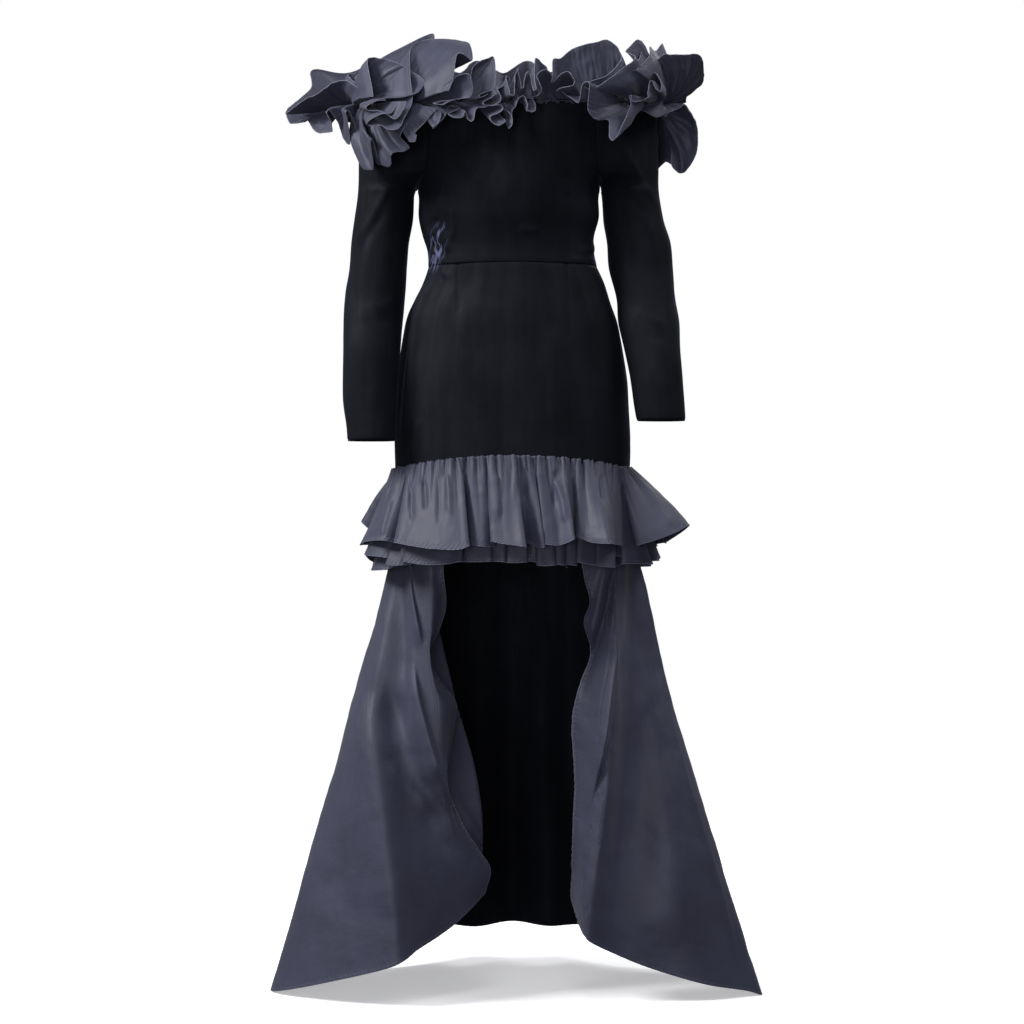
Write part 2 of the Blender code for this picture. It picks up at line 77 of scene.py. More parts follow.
def through(keys, values, places):  # smooth values between the rows of a table, at these places of its keys
    keys, values, places = np.array(keys, float), np.array(values, float), np.asarray(places, float)
    low = np.clip(np.searchsorted(keys, places, side="right") - 1, 0, len(keys) - 2)
    before, after = np.maximum(low - 1, 0), np.minimum(low + 2, len(keys) - 1)
    wide = places.shape + (1,) * (values.ndim - 1)
    span = keys[low + 1] - keys[low]
    step = ((places - keys[low]) / span).reshape(wide)
    leave = (values[low + 1] - values[before]) * (span / (keys[low + 1] - keys[before])).reshape(wide)
    arrive = (values[after] - values[low]) * (span / (keys[after] - keys[low])).reshape(wide)
    rise = values[low + 1] - values[low]
    bend = 3 * rise - 2 * leave - arrive
    turn = leave + arrive - 2 * rise
    return values[low] + step * (leave + step * (bend + step * turn))


def fromTable(rows, places):
    table = np.array(rows, float)
    return np.moveaxis(through(table[:, 0], table[:, 1:], places), -1, 0)


latticeSize = 64
tiny = 1e-9  # keeps a length of nothing out of a division


def patches(across, along, size, seed):  # uneven field from -1 to 1, with lumps of about this size
    lattice = np.random.default_rng(seed).uniform(-1, 1, (latticeSize, latticeSize))
    a, b = across / size, along / size
    left, low = np.floor(a).astype(int), np.floor(b).astype(int)
    a, b = ease(a - left), ease(b - low)
    here, beyond = left % latticeSize, (left + 1) % latticeSize
    near, far = (mix(lattice[row % latticeSize, here], lattice[row % latticeSize, beyond], a)
                 for row in (low, low + 1))
    return mix(near, far, b)


crumpleLook = {"slant": 0.4, "fineSize": 0.45, "fineShare": 0.35}


def crumple(across, along, size, seed):  # crisp thin ridges between flat facets, about 0 to 1
    broad = 1 - np.abs(patches(across, along, size, seed))
    slanted = across + along * crumpleLook["slant"]
    fine = 1 - np.abs(patches(slanted, along, size * crumpleLook["fineSize"], seed + 1))
    return mix(broad, fine, crumpleLook["fineShare"])


def arcLengths(points, axis):
    steps = np.linalg.norm(np.diff(points, axis=axis), axis=-1)
    start = np.zeros_like(np.take(steps, [0], axis=axis))
    return np.cumsum(np.concatenate((start, steps), axis=axis), axis=axis)


def sideReaches(points):  # how far along the cloth each point is from each side of a sheet
    over, down = arcLengths(points, 1), arcLengths(points, 0)
    return {"start": down, "end": down[-1] - down, "left": over, "right": over[:, -1:] - over}


def normals(points):
    normal = np.cross(np.gradient(points, axis=1), np.gradient(points, axis=0))
    return normal / np.maximum(np.linalg.norm(normal, axis=-1, keepdims=True), tiny)


def lifted(points, lift):  # moves a sheet's points along its normals
    return points + normals(points) * lift[..., None]


creaseLook = {
    "steps": 16,  # places along each line
    "fadeShare": 0.25,  # share of a line over which it comes up, and dies out
    "frontTo": 0.04,  # a front crease is whole up to here less frontFade, and gone by here
    "frontFade": 0.06,
    "puckerDrift": 3,
    "puckerSize": 0.2,
    "puckerSeed": 7,
}


def crease(lift, wide, *path, **kind):  # millimetres: width, or one for each side, and the line's x and z
    left, right = wide if isinstance(wide, tuple) else (wide, wide)
    return dict(kind, lift=lift / 1000, left=left / 1000, right=right / 1000, path=np.array(path) / 1000)


def creased(points, creases, facing=1):  # ridges and troughs along lines
    lift = np.zeros(points.shape[:2])
    flat = points[..., (0, 2)]
    for fold in creases:
        ends = len(fold["path"])
        path = through(np.arange(ends), fold["path"], np.linspace(0, ends - 1, creaseLook["steps"]))
        nearest = np.full(points.shape[:2], np.inf)
        share = np.zeros(points.shape[:2])
        side = np.zeros(points.shape[:2])
        for number, (start, end) in enumerate(zip(path, path[1:])):
            run = end - start
            along = np.clip(((flat - start) @ run) / (run @ run), 0, 1)
            away = flat - start - along[..., None] * run
            apart = np.linalg.norm(away, axis=-1)
            closer = apart < nearest
            nearest = np.where(closer, apart, nearest)
            share = np.where(closer, (number + along) / (len(path) - 1), share)
            side = np.where(closer, run[0] * away[..., 1] - run[1] * away[..., 0], side)
        reach = nearest / np.where(side > 0, fold["right"], fold["left"])  # right of a line drawn downwards
        shown = np.minimum(1 if fold.get("open") else share, 1 - share)
        profile = np.exp(-reach if fold.get("sharp") else -(reach ** 2))
        if "pucker" in fold:
            drift = creaseLook["puckerDrift"] * patches(
                flat[..., 0], share, creaseLook["puckerSize"], creaseLook["puckerSeed"])
            profile = profile * np.sin(2 * math.pi * share * fold["pucker"] + drift)
        lift += fold["lift"] * profile * ease(shown / creaseLook["fadeShare"])
    if facing == "front":  # towards the viewer, on the front half alone
        lift *= ease((creaseLook["frontTo"] - points[..., 1]) / creaseLook["frontFade"])
        return points - (0, 1, 0) * lift[..., None]
    return lifted(points, lift * facing)


gatherLook = {
    "driftAlong": 0.3,
    "driftSize": 4,
    "drift": 2.6,
    "uneven": 0.75,  # how much a groove's length varies
    "unevenSize": 1.7,
    "crest": 1.3,
    "fall": 1.3,
    "shortest": 0.003,
}


def gathers(across, fromSeam, size, lift, reach, seed):  # uneven crisp grooves that die out away from a seam
    look = gatherLook
    drift = patches(across, fromSeam * look["driftAlong"], size * look["driftSize"], seed) * look["drift"]
    groove = np.abs(np.sin(math.pi * across / size + drift))
    length = reach * (1 + look["uneven"] * patches(across, across * 0, size * look["unevenSize"], seed + 3))
    fall = np.exp(-((fromSeam / np.maximum(length, look["shortest"])) ** look["fall"]))
    return lift * (2 * np.sqrt(groove) - look["crest"]) * fall


hemRows = (1.15, 0.8, 0.25, 0.0)  # rows beside an end, in widths of its hem


def downRows(steps, hem):  # shares of the way down: even steps, then closer ones inside the hem
    end = 1 - hem * np.array(hemRows)
    return np.concatenate((np.linspace(0, end[0], steps), end[1:]))


class Wire:  # a node's output, on which plain sums and products add Math nodes
    def __init__(self, nodes, socket):
        self.nodes = nodes
        self.socket = socket

    def shaped(self, operation, *numbers):
        sockets = dict(enumerate(numbers or (self,)))
        return self.nodes.node("ShaderNodeMath", {"operation": operation}, sockets)

    def __add__(self, other):
        return self.shaped("ADD", self, other)

    def __sub__(self, other):
        return self.shaped("SUBTRACT", self, other)

    def __rsub__(self, other):
        return self.shaped("SUBTRACT", other, self)

    def __mul__(self, other):
        return self.shaped("MULTIPLY", self, other)


class Nodes:
    def __init__(self, tree):
        self.tree = tree

    def plug(self, node, socket, value):
        if isinstance(value, Wire):
            self.tree.links.new(value.socket, node.inputs[socket])
        else:
            node.inputs[socket].default_value = value

    def node(self, kind, settings, sockets, output=0):
        made = self.tree.nodes.new(kind)
        for setting, value in settings.items():
            setattr(made, setting, value)
        for socket, value in sockets.items():
            self.plug(made, socket, value)
        return Wire(self, made.outputs[output])

    def noise(self, source, stretch, scale, detail, rough):
        stretched = self.node("ShaderNodeMapping", {}, {"Vector": source, "Scale": stretch})
        sockets = {"Vector": stretched, "Scale": scale, "Detail": detail, "Roughness": rough}
        return self.node("ShaderNodeTexNoise", {}, sockets)

    def ranged(self, value, low, high):  # 0 below low, 1 above high
        sockets = {"Value": value, "From Min": low, "From Max": high}
        return self.node("ShaderNodeMapRange", {"interpolation_type": "SMOOTHSTEP"}, sockets)

    def ramped(self, value, low, high, first, last):  # a straight ramp from first at low to last at high
        return self.node("ShaderNodeMapRange", {}, {
            "Value": value, "From Min": low, "From Max": high, "To Min": first, "To Max": last})

    def blended(self, factor, first, second):
        return self.node("ShaderNodeMix", {"data_type": "RGBA"}, {0: factor, 6: first, 7: second}, 2)

    def lengthOf(self, vector):
        return self.node("ShaderNodeVectorMath", {"operation": "LENGTH"}, {0: vector}, 1)


class Finish(Nodes):
    def __init__(self, name):
        self.material = bpy.data.materials.new(name)
        self.material.use_nodes = True
        super().__init__(self.material.node_tree)

    def put(self, sockets):
        for socket, value in sockets.items():
            self.plug(self.tree.nodes["Principled BSDF"], socket, value)

    def bumped(self, height, strength, distance):
        sockets = {"Height": height, "Strength": strength, "Distance": distance}
        return self.node("ShaderNodeBump", {}, sockets)


taffetaLook = {
    "dark": (0.026, 0.0272, 0.050, 1),
    "light": (0.039, 0.0410, 0.075, 1),
    # edge is a lighter colour painted along the free hems as their highlight, and the stitch line takes a
    # share of it
    "edge": (0.150, 0.155, 0.225, 1),
    "slubs": ((26, 620, 1), 1.0, 3.0, 0.6),  # a noise's stretch along each axis, scale, detail and roughness
    "cloud": ((1, 1, 1), 9.0, 4.0, 0.6),
    "crumples": ((1, 1, 1), 38.0, 3.0, 0.55),
    "uneven": ((1, 1, 1), 60.0, 1.0, 0.5),
    "toneSlubs": 0.4,
    "tone": (0.30, 0.70),
    "rough": (0.3, 0.7, 0.52, 0.66),
    "threads": {"X": 105.0, "Y": 80.76923},  # scales of a wave: 334 threads to a metre, and 257
    "edgeHighlightWide": 0.0013,
    "edgeHighlightShare": 0.75,
    "stitchAt": 0.0046,
    "stitchWide": 0.0005,
    "stitchLong": 0.0030,
    "stitchBeat": (-0.5, 0.1),
    "stitchHighlightShare": 0.35,
    "ripples": 800.0,  # radians of the pucker's wave to a metre
    "rippleDrift": 7,
    "puckerWide": 0.016,
    "relief": {"crumples": 2.6, "pucker": 0.7, "slubs": 0.16, "threads": 0.05, "stitch": 0.5},
    "bump": (0.35, 0.0012),
    "shader": {"Sheen Weight": 0.10, "Sheen Roughness": 0.45, "Specular IOR Level": 0.40},
}


def makeTaffeta(name, look):
    finish = Finish(name)
    cloth = finish.node("ShaderNodeUVMap", {"uv_map": "cloth"}, {})
    slubs, cloud, crumples, uneven = (
        finish.noise(cloth, *look[key]) for key in ("slubs", "cloud", "crumples", "uneven"))
    warp, weft = (
        finish.node("ShaderNodeTexWave", {"bands_direction": way}, {"Vector": cloth, "Scale": scale})
        for way, scale in look["threads"].items())
    edge, along = (
        finish.node("ShaderNodeAttribute", {"attribute_name": key}, {}, 2)
        for key in ("edgeDistance", "edgeAlong"))
    # painted highlight: the free hems and the stitch line are lightened towards the edge colour
    rimHighlight = 1 - finish.ranged(edge, look["edgeHighlightWide"] * 0.5, look["edgeHighlightWide"])
    offLine = (edge - look["stitchAt"]).shaped("ABSOLUTE")
    line = 1 - finish.ranged(offLine, look["stitchWide"] * 0.5, look["stitchWide"])
    beat = (along * (2 * math.pi / look["stitchLong"])).shaped("SINE")
    stitch = line * finish.ranged(beat, *look["stitchBeat"])
    mixed = cloud * (1 - look["toneSlubs"]) + slubs * look["toneSlubs"]
    body = finish.blended(finish.ranged(mixed, *look["tone"]), look["dark"], look["light"])
    hemHighlighted = finish.blended(rimHighlight * look["edgeHighlightShare"], body, look["edge"])
    ripple = (along * look["ripples"] + uneven * look["rippleDrift"]).shaped("SINE")
    pucker = ripple * (1 - finish.ranged(edge, 0.0, look["puckerWide"]))
    share = look["relief"]
    relief = crumples * share["crumples"] + pucker * share["pucker"] + slubs * share["slubs"]
    relief = relief + (warp + weft) * share["threads"] - stitch * share["stitch"]
    finish.put({
        "Base Color": finish.blended(stitch * look["stitchHighlightShare"], hemHighlighted, look["edge"]),
        "Roughness": finish.ramped(slubs * 0.5 + cloud * 0.5, *look["rough"]),
        "Normal": finish.bumped(relief, *look["bump"])})
    finish.put(look["shader"])
    return finish.material


velvetLook = {
    "dark": (0.0034, 0.0042, 0.0068, 1),
    "light": (0.0052, 0.0063, 0.0102, 1),
    "nap": ((34, 5, 1), 1.0, 4.0, 0.6),
    "cloud": ((1, 1, 1), 11.0, 3.0, 0.55),
    "pile": ((1, 1, 1), 900.0, 1.0, 0.6),
    "toneCloud": 0.55,
    "tone": (0.36, 0.66),
    "rough": (0, 1, 0.85, 0.62),
    "crushedSheen": (0.085, 0.090, 0.168, 1),
    "crushedSheenAt": (-0.119, -0.050, -0.211),  # the pile is crushed here, at the left of the waist, and its shine is painted into the colour as a lighter, bluer patch
    "crushedSheenTilt": math.radians(17),
    "crushedSheenWide": (0.019, 0.060, 0.050),
    "crushedSheenFade": (0.55, 1.0),
    "crushedSheenFolds": ((1.5, 1.0, 0.6), 1.6, 2.0, 0.5),
    "foldWide": 0.10,
    "relief": {"pile": 0.5, "nap": 0.9, "crushedSheen": 1.5},
    "bump": (0.4, 0.0008),
    "shader": {"Sheen Weight": 0.10, "Sheen Roughness": 0.30, "Sheen Tint": (0.42, 0.50, 0.80, 1),
               "Specular IOR Level": 0.10},
}


def makeVelvet(name, look):
    finish = Finish(name)
    place = finish.node("ShaderNodeTexCoord", {}, {}, 3)
    cloth = finish.node("ShaderNodeUVMap", {"uv_map": "cloth"}, {})
    nap = finish.noise(cloth, *look["nap"])
    cloud, pile = (finish.noise(place, *look[key]) for key in ("cloud", "pile"))
    # painted sheen: a lighter, bluer patch where the pile is crushed, at the left of the waist
    around = finish.node("ShaderNodeMapping", {"vector_type": "TEXTURE"}, {
        "Vector": place, "Location": look["crushedSheenAt"], "Rotation": (0, look["crushedSheenTilt"], 0),
        "Scale": look["crushedSheenWide"]})
    offFold = (finish.noise(around, *look["crushedSheenFolds"]) - 0.5).shaped("ABSOLUTE")
    sheenPatch = 1 - finish.ranged(finish.lengthOf(around), *look["crushedSheenFade"])
    crushedSheen = sheenPatch * (1 - finish.ranged(offFold, 0.0, look["foldWide"]))
    mixed = nap * (1 - look["toneCloud"]) + cloud * look["toneCloud"]
    tone = finish.ranged(mixed, *look["tone"])
    plain = finish.blended(tone, look["dark"], look["light"])
    share = look["relief"]
    relief = pile * share["pile"] + nap * share["nap"] + crushedSheen * share["crushedSheen"]
    finish.put({
        "Base Color": finish.blended(crushedSheen, plain, look["crushedSheen"]),
        "Roughness": finish.ramped(tone, *look["rough"]),
        "Normal": finish.bumped(relief, *look["bump"])})
    finish.put(look["shader"])
    return finish.material


taffeta = makeTaffeta("taffeta", taffetaLook)
velvet = makeVelvet("velvet", velvetLook)
print("finishes made")

clothLook = {  # wall is the shell's thickness at its hems, and thin the share of it elsewhere
    "taffeta": {"material": taffeta, "wall": 0.0009, "thin": 0.55},
    "velvet": {"material": velvet, "wall": 0.0018, "thin": 0.90},
}
hemWide = 0.004
farFromHem = 0.5


def sew(spec, points, cloth, flip=False):  # a closed shell on both sides of a sheet of points
    look = clothLook[cloth]
    rows, columns = points.shape[:2]
    grid = bmesh.new()
    bmesh.ops.create_grid(grid, x_segments=columns - 1, y_segments=rows - 1, size=1)
    for vert, point in zip(grid.verts, points.reshape(-1, 3)):
        vert.co = point
    if flip:
        bmesh.ops.reverse_faces(grid, faces=grid.faces)
    mesh = bpy.data.meshes.new(spec["name"])
    grid.to_mesh(mesh)
    grid.free()
    mesh.shade_smooth()
    mesh.materials.append(look["material"])

    reaches = sideReaches(points)
    over, down = reaches["left"], reaches["start"]
    longest = over[np.argmax(over[:, -1])]
    flat = np.stack((np.broadcast_to(longest, over.shape), down), axis=-1).reshape(-1, 2)
    corners = np.empty(len(mesh.loops), dtype=np.int32)
    mesh.loops.foreach_get("vertex_index", corners)
    mesh.uv_layers.new(name="cloth").data.foreach_set("uv", flat[corners].ravel())

    if "turnedSteps" in spec:
        reaches["left"] = np.abs(over - over[:, spec["turnedSteps"]][:, None])
    edge, along = np.full(over.shape, farFromHem), np.zeros(over.shape)
    for side in spec.get("hems", ()):
        closer = reaches[side] < edge
        edge = np.where(closer, reaches[side], edge)
        along = np.where(closer, over if side in ("start", "end") else down, along)
    for name, values in (("edgeDistance", edge), ("edgeAlong", along)):
        layer = mesh.attributes.new(name, "FLOAT", "POINT")
        layer.data.foreach_set("value", values.ravel().astype(np.float32))

    piece = bpy.data.objects.new(spec["name"], mesh)
    bpy.context.collection.objects.link(piece)
    group = piece.vertex_groups.new(name="thickness")
    group.add(list(range(rows * columns)), look["thin"], "REPLACE")
    group.add([int(n) for n in np.flatnonzero(edge.ravel() < hemWide)], 1.0, "REPLACE")
    shell = piece.modifiers.new("wall", "SOLIDIFY")
    shell.thickness = look["wall"]
    shell.offset = 0
    shell.vertex_group = "thickness"
    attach(piece, "root")
    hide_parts(spec["node"])
    area = round(float(cellAreas(points)), 3)
    print(spec["name"], 4 * (rows * columns - 1), "triangles, cloth", area, "m2")


def cellAreas(points):
    across, along = np.diff(points, axis=1)[:-1], np.diff(points, axis=0)[:, :-1]
    return np.linalg.norm(np.cross(across, along), axis=-1).sum()


# Bodice and skirt

body = {
    "neckRise": 0.023,
    "neckTilt": 0.013,
    "underarmZ": -0.118,
    "waistZ": -0.2390,
    "hipFrontZ": -0.548,
    "hipSideDrop": 0.020,
    "chestWidth": 0.270,
    "seamDip": 0.0008,
    "rings": (  # height, middle of the width, half width, depth to the front and to the back
        (-0.580, 0.0005, 0.1860, 0.112, 0.122),
        (-0.520, 0.0010, 0.1880, 0.113, 0.127),
        (-0.470, 0.0000, 0.1870, 0.115, 0.131),
        (-0.420, -0.0005, 0.1830, 0.115, 0.131),
        (-0.355, -0.0015, 0.1728, 0.112, 0.124),
        (-0.317, -0.0015, 0.1650, 0.108, 0.114),
        (-0.291, 0.0000, 0.1550, 0.104, 0.105),
        (-0.266, 0.0025, 0.1447, 0.100, 0.096),
        (-0.240, 0.0010, 0.1350, 0.098, 0.090),
        (-0.214, -0.0020, 0.1325, 0.099, 0.089),
        (-0.189, -0.0055, 0.1367, 0.106, 0.092),
        (-0.160, -0.0050, 0.1435, 0.117, 0.098),
        (-0.118, -0.0055, 0.1450, 0.127, 0.105),
        (-0.080, -0.0055, 0.1700, 0.128, 0.110),
        (-0.030, -0.0055, 0.2080, 0.124, 0.114),
        (0.020, -0.0055, 0.2375, 0.122, 0.116),
        (0.060, -0.0055, 0.2450, 0.122, 0.116),
    ),
}


def neckZ(angle):
    return body["neckRise"] - body["neckTilt"] * np.cos(np.radians(angle))


def hipZ(angle):
    return body["hipFrontZ"] - body["hipSideDrop"] * np.sin(np.radians(angle)) ** 2


def bodyPoint(angle, z, out=0.0):
    angle, z = np.broadcast_arrays(np.asarray(angle, float), np.asarray(z, float))
    middle, half, front, back = fromTable(body["rings"], z)
    turn = np.radians(angle)
    depth = np.where(np.cos(turn) > 0, front, back)
    slant = np.stack((np.sin(turn) * depth, -np.cos(turn) * half), axis=-1)
    slant /= np.linalg.norm(slant, axis=-1, keepdims=True)
    x = middle + half * np.sin(turn) + slant[..., 0] * out
    y = -depth * np.cos(turn) + slant[..., 1] * out
    return np.stack((x, y, z), axis=-1)


def heightAt(angle, level):  # level -1 is the waist seam, 0 the underarm, 1 the neckline
    lower = body["underarmZ"] + level * (body["underarmZ"] - body["waistZ"])
    return np.where(level < 0, lower, mix(body["underarmZ"], neckZ(angle), level))


armholeCorner = 6


def armholeAngle(side, face, level):
    middle, half = fromTable(body["rings"], mix(body["underarmZ"], body["neckRise"], level))[:2]
    corner = np.clip(level * armholeCorner, 0, 1)
    edgeX = mix(half, body["chestWidth"] / 2 - side * middle, corner)
    turn = np.degrees(np.arcsin(np.clip(edgeX / half, -1, 1)))
    return side * (turn if face < 0 else 180 - turn)


seamEdge = {  # how far an edge reaches past its seam, and how deep under the next panel
    "panel": (0.0020, 0.0020),
    "neckline": (0.0002, -0.0048),
    "train": (0.0060, 0.0024),
    "ruffle": (0.0016, 0.0006),
}
seamWide = 0.0035


def seamDips(points, sides):  # the cloth turns in at its seams
    reaches = sideReaches(points)
    lift = np.zeros(points.shape[:2])
    for side in sides:
        lift -= body["seamDip"] * np.exp(-((reaches[side] / seamWide) ** 2))
    return lift


def tucked(points, outwards, kind, sides):  # a narrow edge that goes on under the panel beyond the seam
    over, deep = seamEdge[kind]
    for side in sides:
        axis = 0 if side == "end" else 1
        edge, inner = (0, 1) if side == "left" else (-1, -2)
        run = np.take(points, [edge], axis) - np.take(points, [inner], axis)
        run /= np.maximum(np.linalg.norm(run, axis=-1, keepdims=True), tiny)
        inwards = np.take(normals(points), [edge], axis) * -outwards
        added = np.take(points, [edge], axis) + run * over + inwards * deep
        points = np.concatenate((added, points) if side == "left" else (points, added), axis=axis)
    return points


swellLook = (  # slow unevenness of a worn panel: share, flattening, size, step to the seed
    (1.0, 0.55, 0.045, 0),
    (0.4, 0.70, 0.020, 5),
)


def velvetSwells(points, seed, lift):
    x, z = points[..., 0], points[..., 2]
    fields = (share * patches(x, z * flat, size, seed + step) for share, flat, size, step in swellLook)
    return lift * sum(fields)


def sewVelvet(spec, points, facing, seams, turnedIn=0.0):  # a worn panel, with dips, swells and creases
    lift = seamDips(points, seams) + velvetSwells(points, spec["seed"], spec["swell"]) - turnedIn
    points = creased(lifted(points, lift * facing), spec["creases"], facing)
    points = tucked(points, facing, "panel", ("left", "right"))
    if spec["neckline"]:
        points = tucked(points, facing, "neckline", ("end",))
    sew(spec, points, "velvet", flip=facing < 0)


def mirrored(creases, share):  # on the other side, with this share of their distance from the middle
    return [dict(fold, path=fold["path"] * (-share, 1)) for fold in creases]


def bodicePoints(first, last, face, columns, rows):
    share, level = np.meshgrid(np.linspace(first, last, columns), np.linspace(-1, 1, rows))
    upper = np.maximum(0, level)
    edge = np.where(share < 0, -armholeAngle(-1, -1, upper), armholeAngle(1, -1, upper))
    angle = share * edge if face < 0 else 180 - share * edge
    return bodyPoint(angle, heightAt(angle, level))


bodiceBackCreases = (  # for the right half; the left half has them mirrored and nearer the middle
    crease(2.6, 5.5, (130, -196), (100, -210), (66, -214)),
    crease(-2.2, 5, (128, -214), (94, -226), (60, -228)),
    crease(2, 7, (122, -90), (106, -130), (96, -170)),
)
bodice = (
    {"name": "bodiceFront", "node": "bodice_front", "cut": (0.44, 0.27), "area": 0.085, "held": "stretched",
     "restsOn": ["skirt_front"], "first": -1, "last": 1, "columns": 110, "facing": 1, "seed": 3,
     "creases": (
        crease(5, 5, (-135, -182), (-112, -196), (-96, -224)),
        crease(-4.5, 4.5, (-134, -200), (-116, -214), (-104, -238)),
        crease(4.5, 4, (-130, -212), (-112, -226), (-106, -236)),
        crease(-4, 4.5, (-128, -168), (-112, -178), (-98, -200)),
        crease(3, 5, (-108, -100), (-110, -140), (-98, -170)),
        crease(-3, 5, (-116, -120), (-122, -150), (-110, -180)),
        crease(2.6, 4, (-98, -150), (-92, -180), (-96, -205)),
        crease(2.2, 6, (10, -186), (26, -190), (44, -188)),
        crease(2, 6, (78, -110), (84, -122), (86, -136)),
        crease(2.2, 6, (140, -200), (122, -214), (100, -222)),
        crease(2, 5, (132, -228), (112, -232), (88, -232)),
        crease(-1.8, 7, (118, -80), (122, -110), (114, -150)),
     )},
    {"name": "bodiceBackRight", "node": "bodice_back_right", "cut": (0.22, 0.27), "area": 0.044,
     "held": "stretched", "restsOn": ["skirt_back_right"], "first": 0.0012, "last": 1, "columns": 56,
     "facing": -1, "seed": 9, "creases": bodiceBackCreases},
    {"name": "bodiceBackLeft", "node": "bodice_back_left", "cut": (0.22, 0.27), "area": 0.044,
     "held": "stretched", "restsOn": ["skirt_back_left"], "first": -1, "last": -0.0012, "columns": 56,
     "facing": -1, "seed": 7, "creases": mirrored(bodiceBackCreases, 0.92)},
)
panelRows = 80


def makeBodice():
    for spec in bodice:
        points = bodicePoints(spec["first"], spec["last"], -spec["facing"], spec["columns"], panelRows)
        spec = dict(spec, swell=0.0009, neckline=True)
        sewVelvet(spec, points, spec["facing"], ("start", "left", "right"))


skirtBackCreases = (
    crease(-3, 2.4, (70, -241), (74, -290), (78, -350), open=True),
    crease(2.6, 9, (150, -300), (120, -340), (70, -352)),
    crease(2.4, 9, (168, -400), (150, -470), (140, -540)),
)
skirt = (
    {"name": "skirtFront", "node": "skirt_front", "cut": (0.47, 0.33), "area": 0.145, "held": "hung",
     "restsOn": ["bodice_front"], "first": -89.92, "last": 89.92, "columns": 110, "seed": 21,
     "creases": (
        crease(6, 6, (-118, -243), (-146, -306), (-158, -384), (-176, -560)),
        crease(-3, 9, (-100, -243), (-128, -306), (-142, -384), (-160, -500)),
        crease(3.2, 5, (-146, -480), (-152, -510), (-160, -556)),
        crease(-3.6, 2.2, (-84.8, -241), (-84.5, -286), (-83, -326), open=True),
        crease(-3.6, 2.2, (85, -241), (87, -300), (90, -372), open=True),
        crease(3, 4, (-112, -244), (-104, -256), (-96, -262)),
        crease(2.2, 8, (160, -300), (172, -380), (180, -460)),
        crease(1.8, 14, (60, -330), (66, -420), (70, -520)),
        crease(-1.4, 16, (-30, -300), (-34, -420), (-30, -530)),
     )},
    {"name": "skirtBackRight", "node": "skirt_back_right", "cut": (0.25, 0.33), "area": 0.078,
     "held": "hung", "restsOn": ["bodice_back_right"], "first": 90.08, "last": 179.92, "columns": 56,
     "seed": 26, "creases": skirtBackCreases},
    {"name": "skirtBackLeft", "node": "skirt_back_left", "cut": (0.25, 0.33), "area": 0.078,
     "held": "hung", "restsOn": ["bodice_back_left"], "first": -179.92, "last": -90.08, "columns": 56,
     "seed": 24, "creases": mirrored(skirtBackCreases, 0.95)},
)
waistGap = 0.0003


def makeSkirt():
    for spec in skirt:
        places = np.linspace(spec["first"], spec["last"], spec["columns"])
        angle, drop = np.meshgrid(places, np.linspace(0, 1, panelRows))
        points = bodyPoint(angle, mix(body["waistZ"] - waistGap, hipZ(angle), drop))
        sewVelvet(dict(spec, swell=0.0010, neckline=False), points, -1, ("start", "left", "right"))


makeBodice()
makeSkirt()
print("bodice and skirt made")

# Sleeves

sleeves = {
    "cuffZ": {-1: -0.518, 1: -0.486},
    "edgeGap": -0.0004,
    "radius": 0.2,
    "underarmEase": 0.004,
    "easePower": 4,
    "lastTurn": 0.999,  # the two halves end just short of each other
    "columns": 36,
    "rows": 76,
    "cuffIn": 0.0012,  # the cuff's edge turns in by this, over this width
    "cuffWide": 0.003,
    "rings": {  # height, outer and inner distance from the body's axis, forward, half depth
        -1: (
            (-0.530, 0.2590, 0.1850, 0.060, 0.0340),
            (-0.500, 0.2605, 0.1830, 0.057, 0.0350),
            (-0.450, 0.2672, 0.1810, 0.050, 0.0400),
            (-0.390, 0.2676, 0.1780, 0.038, 0.0450),
            (-0.330, 0.2672, 0.1744, 0.022, 0.0480),
            (-0.280, 0.2650, 0.1700, 0.010, 0.0490),
            (-0.240, 0.2592, 0.1680, 0.003, 0.0490),
            (-0.200, 0.2560, 0.1648, 0.000, 0.0490),
            (-0.163, 0.2512, 0.1584, 0.000, 0.0500),
            (-0.118, 0.2455, 0.1560, 0.000, 0.0540),
            (-0.075, 0.2448, 0.1500, 0.000, 0.0740),
            (-0.020, 0.2435, 0.1450, 0.000, 0.1010),
            (0.030, 0.2430, 0.1400, 0.000, 0.1180),
        ),
        1: (
            (-0.500, 0.2740, 0.2010, 0.056, 0.0330),
            (-0.459, 0.2720, 0.1930, 0.050, 0.0360),
            (-0.419, 0.2700, 0.1872, 0.043, 0.0400),
            (-0.368, 0.2664, 0.1776, 0.033, 0.0440),
            (-0.330, 0.2656, 0.1696, 0.022, 0.0470),
            (-0.291, 0.2600, 0.1670, 0.012, 0.0480),
            (-0.240, 0.2560, 0.1552, 0.003, 0.0490),
            (-0.200, 0.2528, 0.1528, 0.000, 0.0490),
            (-0.163, 0.2416, 0.1472, 0.000, 0.0500),
            (-0.118, 0.2344, 0.1440, 0.000, 0.0540),
            (-0.075, 0.2336, 0.1400, 0.000, 0.0740),
            (-0.020, 0.2325, 0.1350, 0.000, 0.1020),
            (0.030, 0.2320, 0.1300, 0.000, 0.1190),
        ),
    },
    "creases": {
        -1: (
            crease(3.4, 5, (-190, -104), (-214, -152), (-250, -206)),
            crease(-2.4, 6, (-200, -150), (-222, -186), (-248, -226)),
            crease(2.4, 7, (-176, -290), (-206, -306), (-232, -304)),
            crease(-2, 7, (-180, -320), (-210, -330), (-236, -322)),
            crease(1.8, 8, (-258, -360), (-246, -400), (-238, -440)),
        ),
        1: (
            crease(3.4, 5, (170, -46), (196, -92), (232, -150)),
            crease(-2.4, 7, (160, -90), (184, -130), (222, -170)),
            crease(3, 5, (196, -306), (214, -324), (240, -338)),
            crease(-2.2, 7, (190, -330), (212, -350), (244, -360)),
            crease(1.6, 8, (212, -390), (232, -420), (250, -440)),
        ),
    },
}


